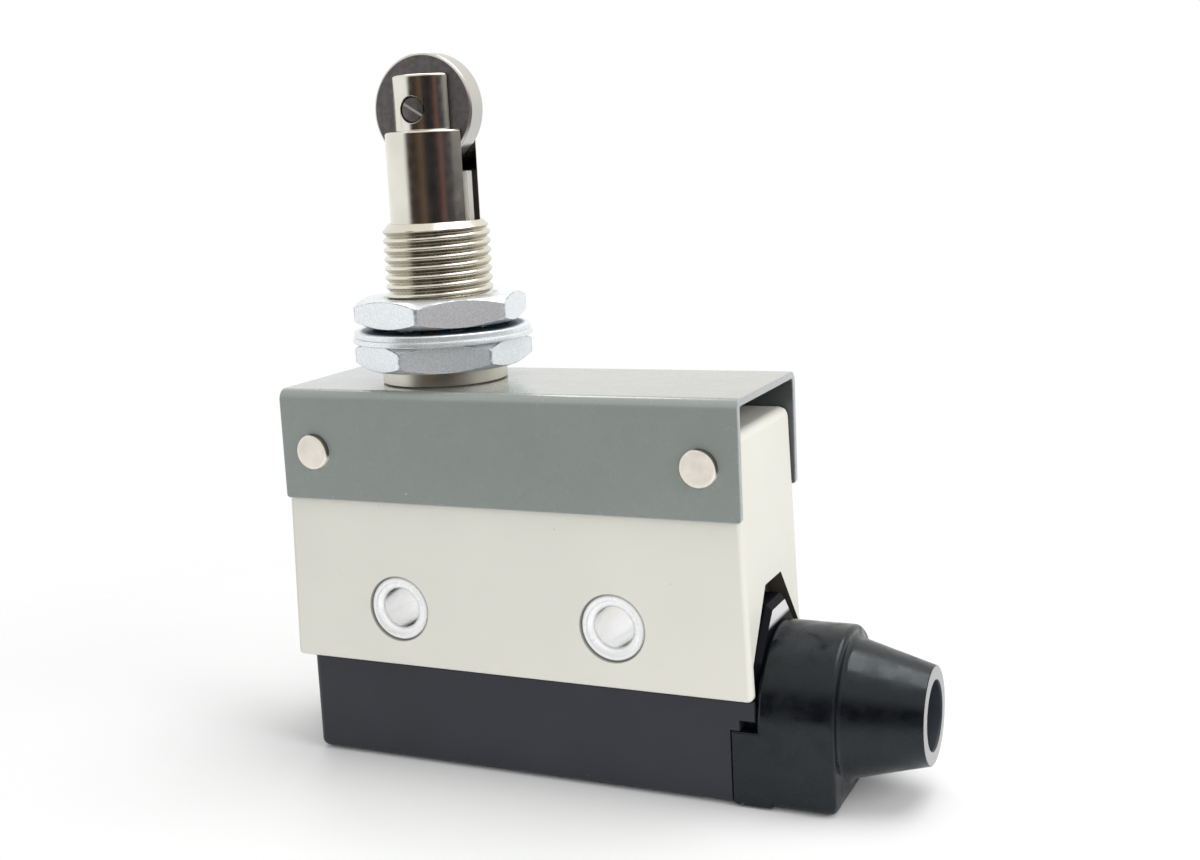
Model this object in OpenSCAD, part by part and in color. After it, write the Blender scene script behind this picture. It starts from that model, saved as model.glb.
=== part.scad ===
// Enclosed limit switch with a panel-mount roller plunger and a rubber cable boot.
// X runs along the case towards the boot, Y to the back and Z up.
// The origin lies on the plunger's axis, in the plane of the cover's underside.

/* [Case] */
// Width of the case, front to back
case_w = 17.2; // [16.6:0.1:20]
// Length of the case at its foot
case_len = 54.2; // [53:0.1:58]
// Height of the case
case_h = 27; // [26.5:0.1:32]
// Distance from the case's left foot to the plunger's axis
axis_from_left = 16.8; // [15.8:0.1:18]
// Slope of the two ends of the case, in degrees
end_draft = 1.7; // [0:0.1:2.5]
// Thickness of the side walls beside the mechanism
case_wall = 2.4; // [1.6:0.1:2.6]
// Thickness of the end walls at the foot
end_wall = 2.3; // [1.8:0.1:2.6]
// Radius of the upright edges
case_edge_r = 0.6; // [0.4:0.1:1.8]
// Radius of the long edges along the top
case_top_r = 1; // [0.4:0.1:1.6]
// Radius of the lower corners, seen from the front
case_foot_r = 0.6; // [0.5:0.1:1.8]
// Room round the plunger's flange in its well
well_room = 0.7; // [0.4:0.05:0.9]
// Depth of the well
well_depth = 7; // [6.6:0.1:7.6]
// Thickness of the well's floor
well_floor = 2; // [1.5:0.1:2.6]
// Height of the seat that takes the switch base, above the case's foot
seat_h = 2; // [1.8:0.1:2.4]
// Width of the ledge that stops the switch base
ledge_w = 0.4; // [0.3:0.1:0.8]
// Wall of the two bosses round the eyelets
boss_wall = 1.6; // [1.3:0.1:1.8]
// Thickness of the bridge that takes the cover's screw
bridge_t = 3.2; // [2.8:0.1:3.6]
// Height of that bridge
bridge_h = 6.8; // [5:0.1:7.4]

/* [Case opening at the boot] */
// Height of the opening's flat top above the case's foot
opening_h = 10.5; // [9:0.1:13]
// Height of the opening's shoulders above the case's foot
opening_shoulder = 3.6; // [2.5:0.1:5]
// Width of the opening's flat top
opening_top_w = 5.2; // [4.6:0.1:7]
// Thickness of the case's walls beside the opening
opening_wall = 0.8; // [0.6:0.1:1]

/* [Bracket] */
// Thickness of the steel sheet
sheet_t = 0.8; // [0.6:0.05:1.2]
// Length of the bracket
bracket_len = 53; // [51:0.1:54]
// How far the bracket's left end stands back from the case's left foot
bracket_inset = 0.9; // [0.2:0.1:1.5]
// Height of the space between the case and the bracket's top
bracket_gap = 2.9; // [2.7:0.1:4]
// Height of the bracket's sides, with its top
bracket_h = 12.2; // [10:0.1:14]
// Inside radius of the two bends
bend_r = 0.4; // [0.2:0.1:1.6]
// Radius of the sides' lower corners
bracket_corner_r = 0.4; // [0.3:0.1:1.5]

/* [Rivets] */
// Diameter of the rivets' shanks
rivet_d = 2.9; // [2.4:0.1:3.2]
// Diameter of the rivets' heads
rivet_head_d = 3.9; // [3.5:0.1:4.6]
// Height of the rivets' heads
rivet_head_h = 0.6; // [0.4:0.05:1]
// Distance of the rivets from the bracket's ends
rivet_inset = 4.1; // [3.4:0.1:4.6]
// Distance of the rivets below the bracket's top
rivet_drop = 6.8; // [6.2:0.1:7.4]

/* [Mounting eyelets] */
// Distance between the two mounting holes
hole_pitch = 25.4; // [25:0.1:26]
// Distance of the left hole from the plunger's axis, towards the left
hole_left = 2.9; // [2.6:0.1:3.2]
// Height of the holes above the case's foot
hole_h = 6.4; // [6.4:0.1:7]
// Diameter of the bore through each eyelet
eyelet_bore = 4.4; // [4:0.1:4.6]
// Wall of each eyelet
eyelet_wall = 0.4; // [0.3:0.05:0.5]
// Diameter of each eyelet's flanges
eyelet_flange_d = 7; // [6.6:0.1:7.4]
// Thickness of each eyelet's flanges
eyelet_flange_t = 0.4; // [0.3:0.05:0.5]
// Radius of each eyelet's rolled mouth
eyelet_roll_r = 0.6; // [0.4:0.05:0.8]
// How far the flanges lie below the face of the case
eyelet_sunk = 0.1; // [0:0.05:0.3]

/* [Bushing, nuts and washers] */
// Outside diameter of the bushing's thread
thread_d = 11.85; // [11.7:0.05:11.95]
// Length of the thread above the collar
thread_len = 15.7; // [13:0.1:20]
// Length of the bevel at the top of the thread
thread_bevel = 0.7; // [0.3:0.1:0.8]
// How far the nuts' threads reach into the bushing's thread
engage_depth = 0.3; // [0.2:0.05:0.4]
// Wall of the bushing between its bore and the outside of the thread
bushing_wall = 0.975; // [0.9:0.025:1.2]
// How far the collar on the bracket stands out beyond the thread
collar_step = 0.975; // [0.6:0.025:1.5]
// Height of the collar
collar_h = 1.7; // [0.8:0.1:2]
// How far the rim that is staked under the bracket stands out beyond the thread
stake_step = 0.775; // [0.5:0.025:0.8]
// Thickness of that rim
stake_t = 0.7; // [0.5:0.1:1]
// Height of the two keys inside the bushing
key_h = 3; // [2:0.1:5]
// Size of the hex nuts across their flats
nut_af = 17; // [16:0.5:19]
// Thickness of the hex nuts
nut_t = 3; // [2.5:0.1:4]
// Slope of the nuts' corner bevels, in degrees
nut_bevel = 25; // [15:1:30]
// Turn of the lower nut about the plunger's axis, in degrees
lower_nut_turn = 30; // [0:1:60]
// Turn of the upper nut about the plunger's axis, in degrees
upper_nut_turn = 43; // [0:1:60]
// How far the flat washer stands out beyond the nuts' corners
washer_over = 0.1; // [0:0.05:1]
// Thickness of the flat washer
flat_washer_t = 0.6; // [0.5:0.1:1]
// How far the lock washer's edge lies inside the flat washer's edge
lock_step = 0.2; // [0:0.05:0.5]
// Thickness of the lock washer
lock_washer_t = 0.6; // [0.5:0.05:0.8]
// Width of the lock washer's rim
lock_rim_w = 2.4; // [2:0.1:2.6]
// Number of the lock washer's teeth
lock_teeth = 12; // [8:1:14]
// Width of each tooth
tooth_w = 1.6; // [1.2:0.1:2]
// Twist of each tooth, in degrees
tooth_twist = 20; // [10:1:25]

/* [Plunger and roller] */
// Height of the plunger's shoulder above the thread
shoulder_h = 9.8; // [9:0.1:14]
// How far the two ears stand back from the plunger's side
ear_step = 1.15; // [0.9:0.05:1.6]
// Height of the ears above the shoulder
ear_h = 5.9; // [5:0.1:7]
// Width of the slot between the ears
slot_w = 3.2; // [3:0.1:3.6]
// Depth of the key groove on each side of the plunger
groove_depth = 1.5; // [1.1:0.1:1.7]
// How far the flange at the plunger's foot stands out from its side
flange_step = 1; // [0.7:0.05:1.2]
// Thickness of that flange
plunger_flange_t = 1; // [0.8:0.1:1.4]
// Bevel on the plunger's edges
plunger_bevel = 0.3; // [0.1:0.05:0.5]
// Diameter of the hole for the overtravel spring
plunger_bore_d = 4.6; // [4.4:0.1:5]
// Depth of that hole
plunger_bore_depth = 4.9; // [4:0.1:8]
// Travel of the plunger
travel = 4.5; // [3:0.1:4.6]
// Diameter of the roller
roller_d = 12; // [11:0.1:12]
// Width of the roller
roller_w = 2.9; // [2.4:0.1:2.9]
// Bevel on the roller's edges
roller_bevel = 0.25; // [0.1:0.05:0.5]
// Diameter of the roller's pin
pin_d = 2.8; // [2.4:0.1:3]
// Height of the pin above the plunger's shoulder
pin_h = 2.2; // [2:0.1:3]
// How far the pin's ends lie below the face of the ears
pin_sunk = 0.35; // [0.1:0.05:0.6]
// Room between the roller and the slot's floor
slot_room = 0.7; // [0.4:0.1:1.5]

/* [Springs and seal] */
// Wire of the return spring
return_wire = 0.7; // [0.5:0.05:0.8]
// How far the return spring lies inside the edge of the plunger's flange
return_inset = 0.6; // [0.4:0.05:1]
// Turns of the return spring
return_turns = 4.5; // [3.5:0.5:5]
// Wire of the overtravel spring
over_wire = 0.4; // [0.3:0.05:0.5]
// Room round the overtravel spring in the plunger's hole
over_room = 0.4; // [0.2:0.05:0.6]
// Turns of the overtravel spring
over_turns = 9; // [6:1:11]
// Width of the seal ring's section
seal_w = 0.8; // [0.5:0.05:0.8]

/* [Snap mechanism] */
// Diameter of the button
button_d = 3; // [2.6:0.1:3.4]
// Diameter of the button's head
button_head_d = 4.2; // [4:0.1:4.4]
// Thickness of the button's head
button_head_t = 0.8; // [0.6:0.1:1]
// Travel of the button
button_travel = 0.38; // [0.2:0.02:0.4]
// Thickness of the blade
blade_t = 0.3; // [0.2:0.05:0.4]
// Width of the blade
blade_w = 5; // [4:0.1:5.4]
// Height of the blade above the case's foot
blade_h = 14; // [13.8:0.1:14.2]
// Distance from the blade's hinge line to the plunger's axis
blade_hinge_left = 8.5; // [8.3:0.1:8.7]
// Diameter of the rod that the blade hinges on
hinge_d = 0.9; // [0.9:0.05:1]
// Distance from the plunger's axis to the contacts
contact_x = 11; // [10.5:0.1:11.2]
// Diameter of the contacts
contact_d = 3; // [2.4:0.1:3]
// Thickness of the contacts
contact_t = 0.8; // [0.6:0.05:0.9]
// Gap between the open contacts
contact_gap = 1; // [1:0.05:1.2]

/* [Terminals] */
// Thickness of the terminal strips
strip_t = 0.8; // [0.6:0.05:0.9]
// Width of the terminals' risers
riser_w = 3; // [2:0.1:4]
// Length of each terminal's pad along the case
pad_l = 5.2; // [4.8:0.1:5.2]
// Width of each terminal's pad
pad_w = 6; // [5:0.1:6.4]
// Distance of the common terminal from the plunger's axis, towards the left
com_left = 10.5; // [10.4:0.1:10.7]
// Distance of the other two terminals from the cover's screw
terminal_offset = 5.35; // [5.2:0.05:5.4]
// Diameter of the terminal screws
screw_d = 3; // [2.6:0.1:3]
// Length of the terminal screws in the base
screw_grip = 5; // [3:0.1:6]
// Diameter of the terminal screws' heads
screw_head_d = 4.8; // [4.2:0.1:4.8]
// Height of the terminal screws' heads
screw_head_h = 1.8; // [1.2:0.1:2.2]
// Side of the square clamp washers
clamp_side = 4.6; // [4:0.1:4.8]
// Thickness of the clamp washers
clamp_t = 0.7; // [0.5:0.1:1]
// Thickness of the switch base's plate
base_t = 1.3; // [1:0.1:1.4]

/* [Cover and gasket] */
// Height of the cover
cover_h = 10.4; // [10:0.1:13]
// How far the cover's sides stand back from the case's faces
cover_inset = 0.25; // [0.1:0.05:0.4]
// How far the cover's left end stands back from the case's left foot
cover_step = 1.9; // [1.4:0.1:2]
// Thickness of the cover's walls
cover_wall = 1.5; // [1.3:0.1:1.6]
// Thickness of the cover's floor
cover_floor = 1.6; // [1.2:0.1:2]
// Radius of the cover's edges
cover_edge_r = 0.9; // [0.3:0.1:1.1]
// Thickness of the gasket between the cover and the case
gasket_t = 0.6; // [0.4:0.1:1]
// Diameter of the post round the cover's screw
post_d = 4.4; // [4:0.1:4.6]
// Diameter of the cover's screw
cover_screw_d = 2.9; // [2.5:0.1:3]
// Diameter of the cover screw's head
cover_head_d = 5.4; // [5:0.1:5.6]
// Height of the cover screw's head
cover_head_h = 1.8; // [1.4:0.1:2]
// How far the head lies above the cover's underside
cover_head_sunk = 0.4; // [0.2:0.1:0.8]
// Height of the notch's roof above the cover's underside
notch_h = 9; // [8.6:0.1:9.4]
// Depth of the notch from the case's right end
notch_depth = 1.6; // [1:0.1:2]

/* [Cable boot] */
// How far the sides of the boot's block stand back from the case's faces
boot_inset = 0.2; // [0:0.05:0.25]
// Height of the cable's axis
cable_h = 8.5; // [8.4:0.1:9]
// Diameter of the cable's hole
cable_d = 7; // [5:0.1:8]
// Length of the block outside the case
block_len = 7.9; // [6:0.1:10]
// Length of the cone
cone_len = 8; // [5:0.1:12]
// Diameter of the cone at the block
cone_root_d = 14; // [13:0.1:15]
// Diameter of the cone at its end
cone_end_d = 10.1; // [9.6:0.1:12]
// How far the lip reaches over the end of the cover
lip_over = 2.5; // [2.2:0.1:3]
// Height of the lip
lip_h = 7.8; // [7:0.1:8]
// Height of the plug's flat top above the case's foot
plug_h = 8.3; // [7:0.1:8.6]
// Width of the plug's flat top
plug_top_w = 4.8; // [4:0.1:5]
// Thickness of the flange inside the cover
boot_flange_t = 1.2; // [0.8:0.1:1.6]
// Rubber above the cable's hole inside the case
throat_wall = 1.5; // [1:0.1:2]

/* [Fits] */
// Radial clearance of running and sliding fits
running_fit = 0.05; // [0.02:0.01:0.08]
// Radial clearance of the nuts on the thread
thread_fit = 0.03; // [0.01:0.01:0.05]
// Radial clearance of the rivets and the other fixed pieces in their holes
fixed_fit = 0.05; // [0.02:0.01:0.1]
// Clearance of pieces that are laid in a recess
loose_fit = 0.1; // [0.05:0.01:0.2]
// Clearance of the washers on the thread
washer_fit = 0.2; // [0.1:0.05:0.3]
// Clearance round the keys in the plunger's grooves
key_fit = 0.15; // [0.1:0.01:0.2]
// Gap left between parts that only touch in use
touch_gap = 0.05; // [0.03:0.01:0.08]

/* [Hidden] */
$fn = 64;
over = 0.5;

// Heights, from the cover's underside up
case_z0 = cover_h + gasket_t;
case_z1 = case_z0 + case_h;
bracket_z0 = case_z1 + bracket_gap;
bracket_z1 = bracket_z0 + sheet_t;
collar_z1 = bracket_z1 + collar_h;
lower_nut_z1 = collar_z1 + nut_t;
flat_washer_z1 = lower_nut_z1 + flat_washer_t;
tooth_height = tooth_w * sin(tooth_twist) + lock_washer_t * cos(tooth_twist);
upper_nut_z0 = flat_washer_z1 + tooth_height;
upper_nut_z1 = upper_nut_z0 + nut_t;
thread_z1 = collar_z1 + thread_len;
bushing_z0 = bracket_z0 - stake_t;
shoulder_z = thread_z1 + shoulder_h;
ear_z1 = shoulder_z + ear_h;
pin_z = shoulder_z + pin_h;
slot_z0 = pin_z - roller_d / 2 - slot_room;
flange_z1 = bushing_z0 - loose_fit;
flange_z0 = flange_z1 - plunger_flange_t;
key_z0 = bracket_z0 + loose_fit;
well_z0 = case_z1 - well_depth;
ceiling_z = well_z0 - well_floor;
seat_z = case_z0 + seat_h;
hole_z = case_z0 + hole_h;
rivet_z = bracket_z1 - rivet_drop;
blade_z0 = case_z0 + blade_h;
blade_z1 = blade_z0 + blade_t;
hinge_z = (blade_z0 + blade_z1) / 2;
base_z0 = seat_z - base_t;
pad_z0 = base_z0 - strip_t;
clamp_z0 = pad_z0 - clamp_t;

// Places along the case
case_x0 = -axis_from_left;
case_x1 = case_x0 + case_len;
end_lean = case_h * tan(end_draft);
chamber_x0 = case_x0 + end_wall;
chamber_x1 = case_x1 - end_wall;
bracket_x0 = case_x0 + bracket_inset;
bracket_x1 = bracket_x0 + bracket_len;
rivet_xs = [bracket_x0 + rivet_inset, bracket_x1 - rivet_inset];
hole_xs = [-hole_left, hole_pitch - hole_left];
screw_x = (hole_xs[0] + hole_xs[1]) / 2;
terminal_xs = [-com_left, screw_x - terminal_offset, screw_x + terminal_offset];
hinge_x = -blade_hinge_left;
lip_x0 = case_x1 - lip_over;
cover_end_x1 = lip_x0 - loose_fit;
cover_end_x0 = cover_end_x1 - cover_wall;
boot_flange_x1 = cover_end_x0 - loose_fit;
boot_flange_x0 = boot_flange_x1 - boot_flange_t;
block_x0 = case_x1 + loose_fit;
block_x1 = block_x0 + block_len;
cone_x1 = block_x1 + cone_len;
cover_x0 = case_x0 + cover_step;

// Half widths, from the middle plane outwards
case_y = case_w / 2;
bracket_in_y = case_y + loose_fit;
bracket_out_y = bracket_in_y + sheet_t;
chamber_y = case_y - case_wall;
seat_y = chamber_y + ledge_w;
opening_y = case_y - opening_wall;
cover_y = case_y - cover_inset;
cover_in_y = cover_y - cover_wall;
plug_y = cover_in_y - 1.5 * loose_fit;
throat_y = chamber_y - 3 * loose_fit;
boot_y = case_y - boot_inset;

// Round sizes that follow the thread
thread_r = thread_d / 2;
engaged_r = thread_r - engage_depth;
bore_r = thread_r - bushing_wall;
collar_d = thread_d + 2 * collar_step;
stake_d = thread_d + 2 * stake_step;
nut_corner_r = nut_af / 2 / cos(30);
flat_washer_d = 2 * (nut_corner_r + washer_over);
lock_washer_d = flat_washer_d - 2 * lock_step;
plunger_d = 2 * (bore_r - running_fit);
ear_d = plunger_d - 2 * ear_step;
groove_floor = plunger_d / 2 - groove_depth;
plunger_flange_d = plunger_d + 2 * flange_step;
return_d = plunger_flange_d - 2 * return_inset;
well_d = plunger_flange_d + 2 * well_room;
over_d = plunger_bore_d - 2 * over_room;

// Radii round the mounting holes
eyelet_r = eyelet_bore / 2 + eyelet_wall;
boss_r = eyelet_r + fixed_fit + boss_wall;

// A 2D or 3D box from one pair of limits for each axis
module block(x, y, z) {
    translate([x[0], y[0], z[0]])
        cube([x[1] - x[0], y[1] - y[0], z[1] - z[0]]);
}

module panel(x, y) {
    translate([x[0], y[0]])
        square([x[1] - x[0], y[1] - y[0]]);
}

// A profile in Y and Z, drawn out along X
module along_x(x) {
    translate([x[0], 0, 0])
        rotate([90, 0, 90])
            linear_extrude(x[1] - x[0])
                children();
}

// A profile in X and Z, drawn out along Y
module along_y(y) {
    translate([0, y[1], 0])
        rotate([90, 0, 0])
            linear_extrude(y[1] - y[0])
                children();
}

// A solid of revolution that stands on the middle plane and points to the front
module turned_along_y(at) {
    translate([at[0], 0, at[1]])
        rotate([90, 0, 0])
            rotate_extrude()
                children();
}

// What lies outside a round of radius r at the corner of a panel
module corner_cut(at, side, r) {
    translate(at)
        mirror([side[0] > 0 ? 0 : 1, 0])
            mirror([0, side[1] > 0 ? 0 : 1])
                difference() {
                    panel([-r, over], [-r, over]);
                    translate([-r, -r])
                        circle(r);
                }
}

// A panel with four round corners
module round_panel(x, y, r) {
    difference() {
        panel(x, y);
        for (i = [0, 1], j = [0, 1])
            corner_cut([x[i], y[j]], [2 * i - 1, 2 * j - 1], r);
    }
}

// What lies outside a round along an edge of the given length that stands on the XY plane
module edge_cut(side, r, length) {
    linear_extrude(length)
        corner_cut([0, 0], side, r);
}

module tube(d, bore, z) {
    translate([0, 0, z[0]])
        difference() {
            cylinder(d = d, h = z[1] - z[0]);
            translate([0, 0, -over])
                cylinder(d = bore, h = z[1] - z[0] + 2 * over);
        }
}

// An outline with a flat top and two sloping shoulders, drawn in Y and Z
module gable(half_w, half_top, z) {
    polygon([
        [-half_w, z[0]], [half_w, z[0]], [half_w, z[1]],
        [half_top, z[2]], [-half_top, z[2]], [-half_w, z[1]]
    ]);
}

// Height of the wire's middle after t turns of a spring with closed end turns
function coil_z(t, turns, wire, length) =
    let (closed = 1.08 * wire)
    let (rise = (length - wire - 2 * closed) / (turns - 2))
    wire / 2 + (t < 1 ? t * closed
        : t > turns - 1 ? length - wire - (turns - t) * closed
        : closed + (t - 1) * rise);

// A round wire wound up the Z axis from height z[0] to z[1]
module coil_spring(d, wire, turns, z) {
    sides = 6;
    steps = 16;
    rings = turns * steps;
    middle_r = (d - wire) / 2;
    points = [
        for (i = [0 : rings], k = [0 : sides - 1])
            let (a = 360 * i / steps, b = 360 * k / sides)
            let (r = middle_r + wire / 2 * cos(b))
            [r * cos(a), r * sin(a), z[0] + coil_z(i / steps, turns, wire, z[1] - z[0]) + wire / 2 * sin(b)]
    ];
    walls = [
        for (i = [0 : rings - 1], k = [0 : sides - 1])
            let (next = (k + 1) % sides)
            [i * sides + k, i * sides + next, (i + 1) * sides + next, (i + 1) * sides + k]
    ];
    first_end = [for (k = [sides - 1 : -1 : 0]) k];
    last_end = [for (k = [0 : sides - 1]) rings * sides + k];
    polyhedron(points, concat(walls, [first_end, last_end]));
}

// Folded channel over the top of the case, with holes for the bushing and the rivets
module bracket() {
    out_r = bend_r + sheet_t;
    z0 = bracket_z1 - bracket_h;
    color([0.50, 0.53, 0.51])
        difference() {
            along_x([bracket_x0, bracket_x1])
                difference() {
                    panel([-bracket_out_y, bracket_out_y], [z0, bracket_z1]);
                    panel([-bracket_in_y, bracket_in_y], [z0 - over, bracket_z0 - bend_r]);
                    panel([bend_r - bracket_in_y, bracket_in_y - bend_r], [z0 - over, bracket_z0]);
                    for (s = [-1, 1])
                        translate([s * (bracket_in_y - bend_r), bracket_z0 - bend_r])
                            circle(bend_r);
                    for (s = [-1, 1])
                        corner_cut([s * bracket_out_y, bracket_z1], [s, 1], out_r);
                }
            for (x = [bracket_x0, bracket_x1])
                along_y([-bracket_out_y - over, bracket_out_y + over])
                    corner_cut([x, z0], [x == bracket_x0 ? -1 : 1, -1], bracket_corner_r);
            for (x = rivet_xs)
                translate([x, bracket_out_y + over, rivet_z])
                    rotate([90, 0, 0])
                        cylinder(d = rivet_d + 2 * fixed_fit, h = 2 * (bracket_out_y + over));
            translate([0, 0, bracket_z0 - over])
                cylinder(r = thread_r + fixed_fit, h = sheet_t + 2 * over);
        }
}

// Outside of the case: drafted ends, round upright edges and round corners
module case_outside() {
    difference() {
        along_y([-case_y, case_y])
            difference() {
                polygon([
                    [case_x0, case_z0], [case_x1, case_z0],
                    [case_x1 - end_lean, case_z1], [case_x0 + end_lean, case_z1]
                ]);
                corner_cut([case_x0, case_z0], [-1, -1], case_foot_r);
                corner_cut([case_x1, case_z0], [1, -1], case_foot_r);
            }
        for (s = [-1, 1], t = [-1, 1])
            translate([s < 0 ? case_x0 : case_x1, t * case_y, case_z0])
                rotate([0, -s * end_draft, 0])
                    translate([0, 0, -over])
                        edge_cut([s, t], case_edge_r, case_h + 2 * over);
        for (t = [-1, 1])
            along_x([case_x0 - over, case_x1 + over])
                corner_cut([t * case_y, case_z1], [t, 1], case_top_r);
    }
}

// Room inside the case: the chamber, the seat of the base, the well and the opening at the boot
module case_room() {
    block([chamber_x0, chamber_x1], [-chamber_y, chamber_y], [case_z0 - over, ceiling_z]);
    block([chamber_x0, chamber_x1], [-seat_y, seat_y], [case_z0 - over, seat_z]);
    translate([0, 0, well_z0])
        cylinder(d = well_d, h = well_depth + over);
    translate([0, 0, ceiling_z - over])
        cylinder(d = button_d + 2 * running_fit, h = well_floor + 2 * over);
    along_x([chamber_x1 - loose_fit, case_x1 + over])
        gable(opening_y, opening_top_w / 2, [case_z0 - over, case_z0 + opening_shoulder, case_z0 + opening_h]);
}

// Bosses round the eyelets and the bridge for the cover's screw, across the chamber
module case_ties() {
    for (x = hole_xs)
        translate([x, chamber_y + loose_fit, hole_z])
            rotate([90, 0, 0])
                cylinder(r = boss_r, h = 2 * (chamber_y + loose_fit));
    block(
        [screw_x - bridge_t / 2, screw_x + bridge_t / 2],
        [-chamber_y - loose_fit, chamber_y + loose_fit],
        [seat_z + loose_fit, seat_z + bridge_h]
    );
}

// Moulded case
module case() {
    color([0.89, 0.88, 0.84])
        difference() {
            union() {
                difference() {
                    case_outside();
                    case_room();
                }
                case_ties();
            }
            for (x = hole_xs)
                translate([x, 0, hole_z])
                    rotate([90, 0, 0]) {
                        cylinder(r = eyelet_r + fixed_fit, h = case_w + 2 * over, center = true);
                        for (s = [0, 1])
                            mirror([0, 0, s])
                                translate([0, 0, case_y - eyelet_sunk - eyelet_flange_t])
                                    cylinder(d = eyelet_flange_d + 2 * loose_fit, h = case_w);
                    }
            for (x = rivet_xs)
                translate([x, 0, rivet_z])
                    rotate([90, 0, 0])
                        cylinder(d = rivet_d + 2 * fixed_fit, h = case_w + 2 * over, center = true);
            translate([screw_x, 0, seat_z - over])
                cylinder(d = cover_screw_d, h = bridge_h);
        }
}

// Tubular eyelet with a flange and a rolled mouth at both faces of the case
module eyelet(x) {
    bore = eyelet_bore / 2;
    flange_r = eyelet_flange_d / 2;
    end_y = case_y - eyelet_sunk;
    neck_y = end_y - eyelet_flange_t;
    color([0.86, 0.87, 0.88])
        turned_along_y([x, hole_z])
            difference() {
                polygon([
                    [bore, -end_y], [flange_r, -end_y], [flange_r, -neck_y], [eyelet_r, -neck_y],
                    [eyelet_r, neck_y], [flange_r, neck_y], [flange_r, end_y], [bore, end_y]
                ]);
                for (s = [-1, 1])
                    corner_cut([bore, s * end_y], [-1, s], eyelet_roll_r);
            }
}

module eyelet_left() {
    eyelet(hole_xs[0]);
}

module eyelet_right() {
    eyelet(hole_xs[1]);
}

// Solid rivet through the bracket and the case, with a head at each side
module rivet(x) {
    head_r = rivet_head_d / 2;
    end_y = bracket_out_y + rivet_head_h;
    color([0.78, 0.75, 0.71])
        turned_along_y([x, rivet_z])
            difference() {
                polygon([
                    [0, -end_y], [head_r, -end_y], [head_r, -bracket_out_y], [rivet_d / 2, -bracket_out_y],
                    [rivet_d / 2, bracket_out_y], [head_r, bracket_out_y], [head_r, end_y], [0, end_y]
                ]);
                for (s = [-1, 1])
                    corner_cut([head_r, s * end_y], [1, s], rivet_head_h / 2);
            }
}

module rivet_left() {
    rivet(rivet_xs[0]);
}

module rivet_right() {
    rivet(rivet_xs[1]);
}

// Threaded bushing: staked rim, collar, thread and two keys that stop the plunger from turning.
// The thread is drawn at its outside, and at the depth of engagement inside the two nuts.
module bushing() {
    key_w = slot_w - 2 * key_fit;
    color([0.74, 0.71, 0.66]) {
        rotate_extrude()
            polygon([
                [bore_r, bushing_z0], [stake_d / 2, bushing_z0], [stake_d / 2, bracket_z0],
                [thread_r, bracket_z0], [thread_r, bracket_z1],
                [collar_d / 2, bracket_z1], [collar_d / 2, collar_z1],
                [engaged_r, collar_z1], [engaged_r, lower_nut_z1 + touch_gap],
                [thread_r, lower_nut_z1 + touch_gap], [thread_r, upper_nut_z0 - touch_gap],
                [engaged_r, upper_nut_z0 - touch_gap], [engaged_r, upper_nut_z1 + touch_gap],
                [thread_r, upper_nut_z1 + touch_gap], [thread_r, thread_z1 - thread_bevel], [thread_r - thread_bevel, thread_z1],
                [bore_r, thread_z1]
            ]);
        intersection() {
            for (s = [0, 1])
                mirror([s, 0, 0])
                    block([groove_floor + key_fit, thread_r], [-key_w / 2, key_w / 2], [key_z0, key_z0 + key_h]);
            translate([0, 0, key_z0])
                cylinder(r = (bore_r + thread_r) / 2, h = key_h);
        }
    }
}

// Hex nut with bevelled corners
module hex_nut(z, turn) {
    bevel_h = (nut_corner_r - nut_af / 2) * tan(nut_bevel);
    color([0.78, 0.81, 0.84])
        translate([0, 0, z])
            difference() {
                intersection() {
                    rotate([0, 0, turn])
                        cylinder(r = nut_corner_r, h = nut_t, $fn = 6);
                    rotate_extrude()
                        polygon([
                            [0, 0], [nut_af / 2, 0], [nut_corner_r, bevel_h],
                            [nut_corner_r, nut_t - bevel_h], [nut_af / 2, nut_t], [0, nut_t]
                        ]);
                }
                translate([0, 0, -over])
                    cylinder(r = engaged_r + thread_fit, h = nut_t + 2 * over);
            }
}

module lower_nut() {
    hex_nut(collar_z1, lower_nut_turn);
}

module upper_nut() {
    hex_nut(upper_nut_z0, upper_nut_turn);
}

module flat_washer() {
    color([0.76, 0.79, 0.82])
        tube(flat_washer_d, thread_d + 2 * washer_fit, [lower_nut_z1, flat_washer_z1]);
}

// Lock washer: a flat rim with twisted teeth on its inside
module lock_washer() {
    rim_r = lock_washer_d / 2 - lock_rim_w;
    tooth_r0 = thread_r + washer_fit;
    tooth_l = rim_r + lock_rim_w / 4 - tooth_r0;
    color([0.74, 0.78, 0.82]) {
        tube(lock_washer_d, 2 * rim_r, [flat_washer_z1, flat_washer_z1 + lock_washer_t]);
        for (i = [0 : lock_teeth - 1])
            rotate([0, 0, 360 * i / lock_teeth])
                translate([tooth_r0, 0, flat_washer_z1 + tooth_height / 2])
                    rotate([tooth_twist, 0, 0])
                        block([0, tooth_l], [-tooth_w / 2, tooth_w / 2], [-lock_washer_t / 2, lock_washer_t / 2]);
    }
}

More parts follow.
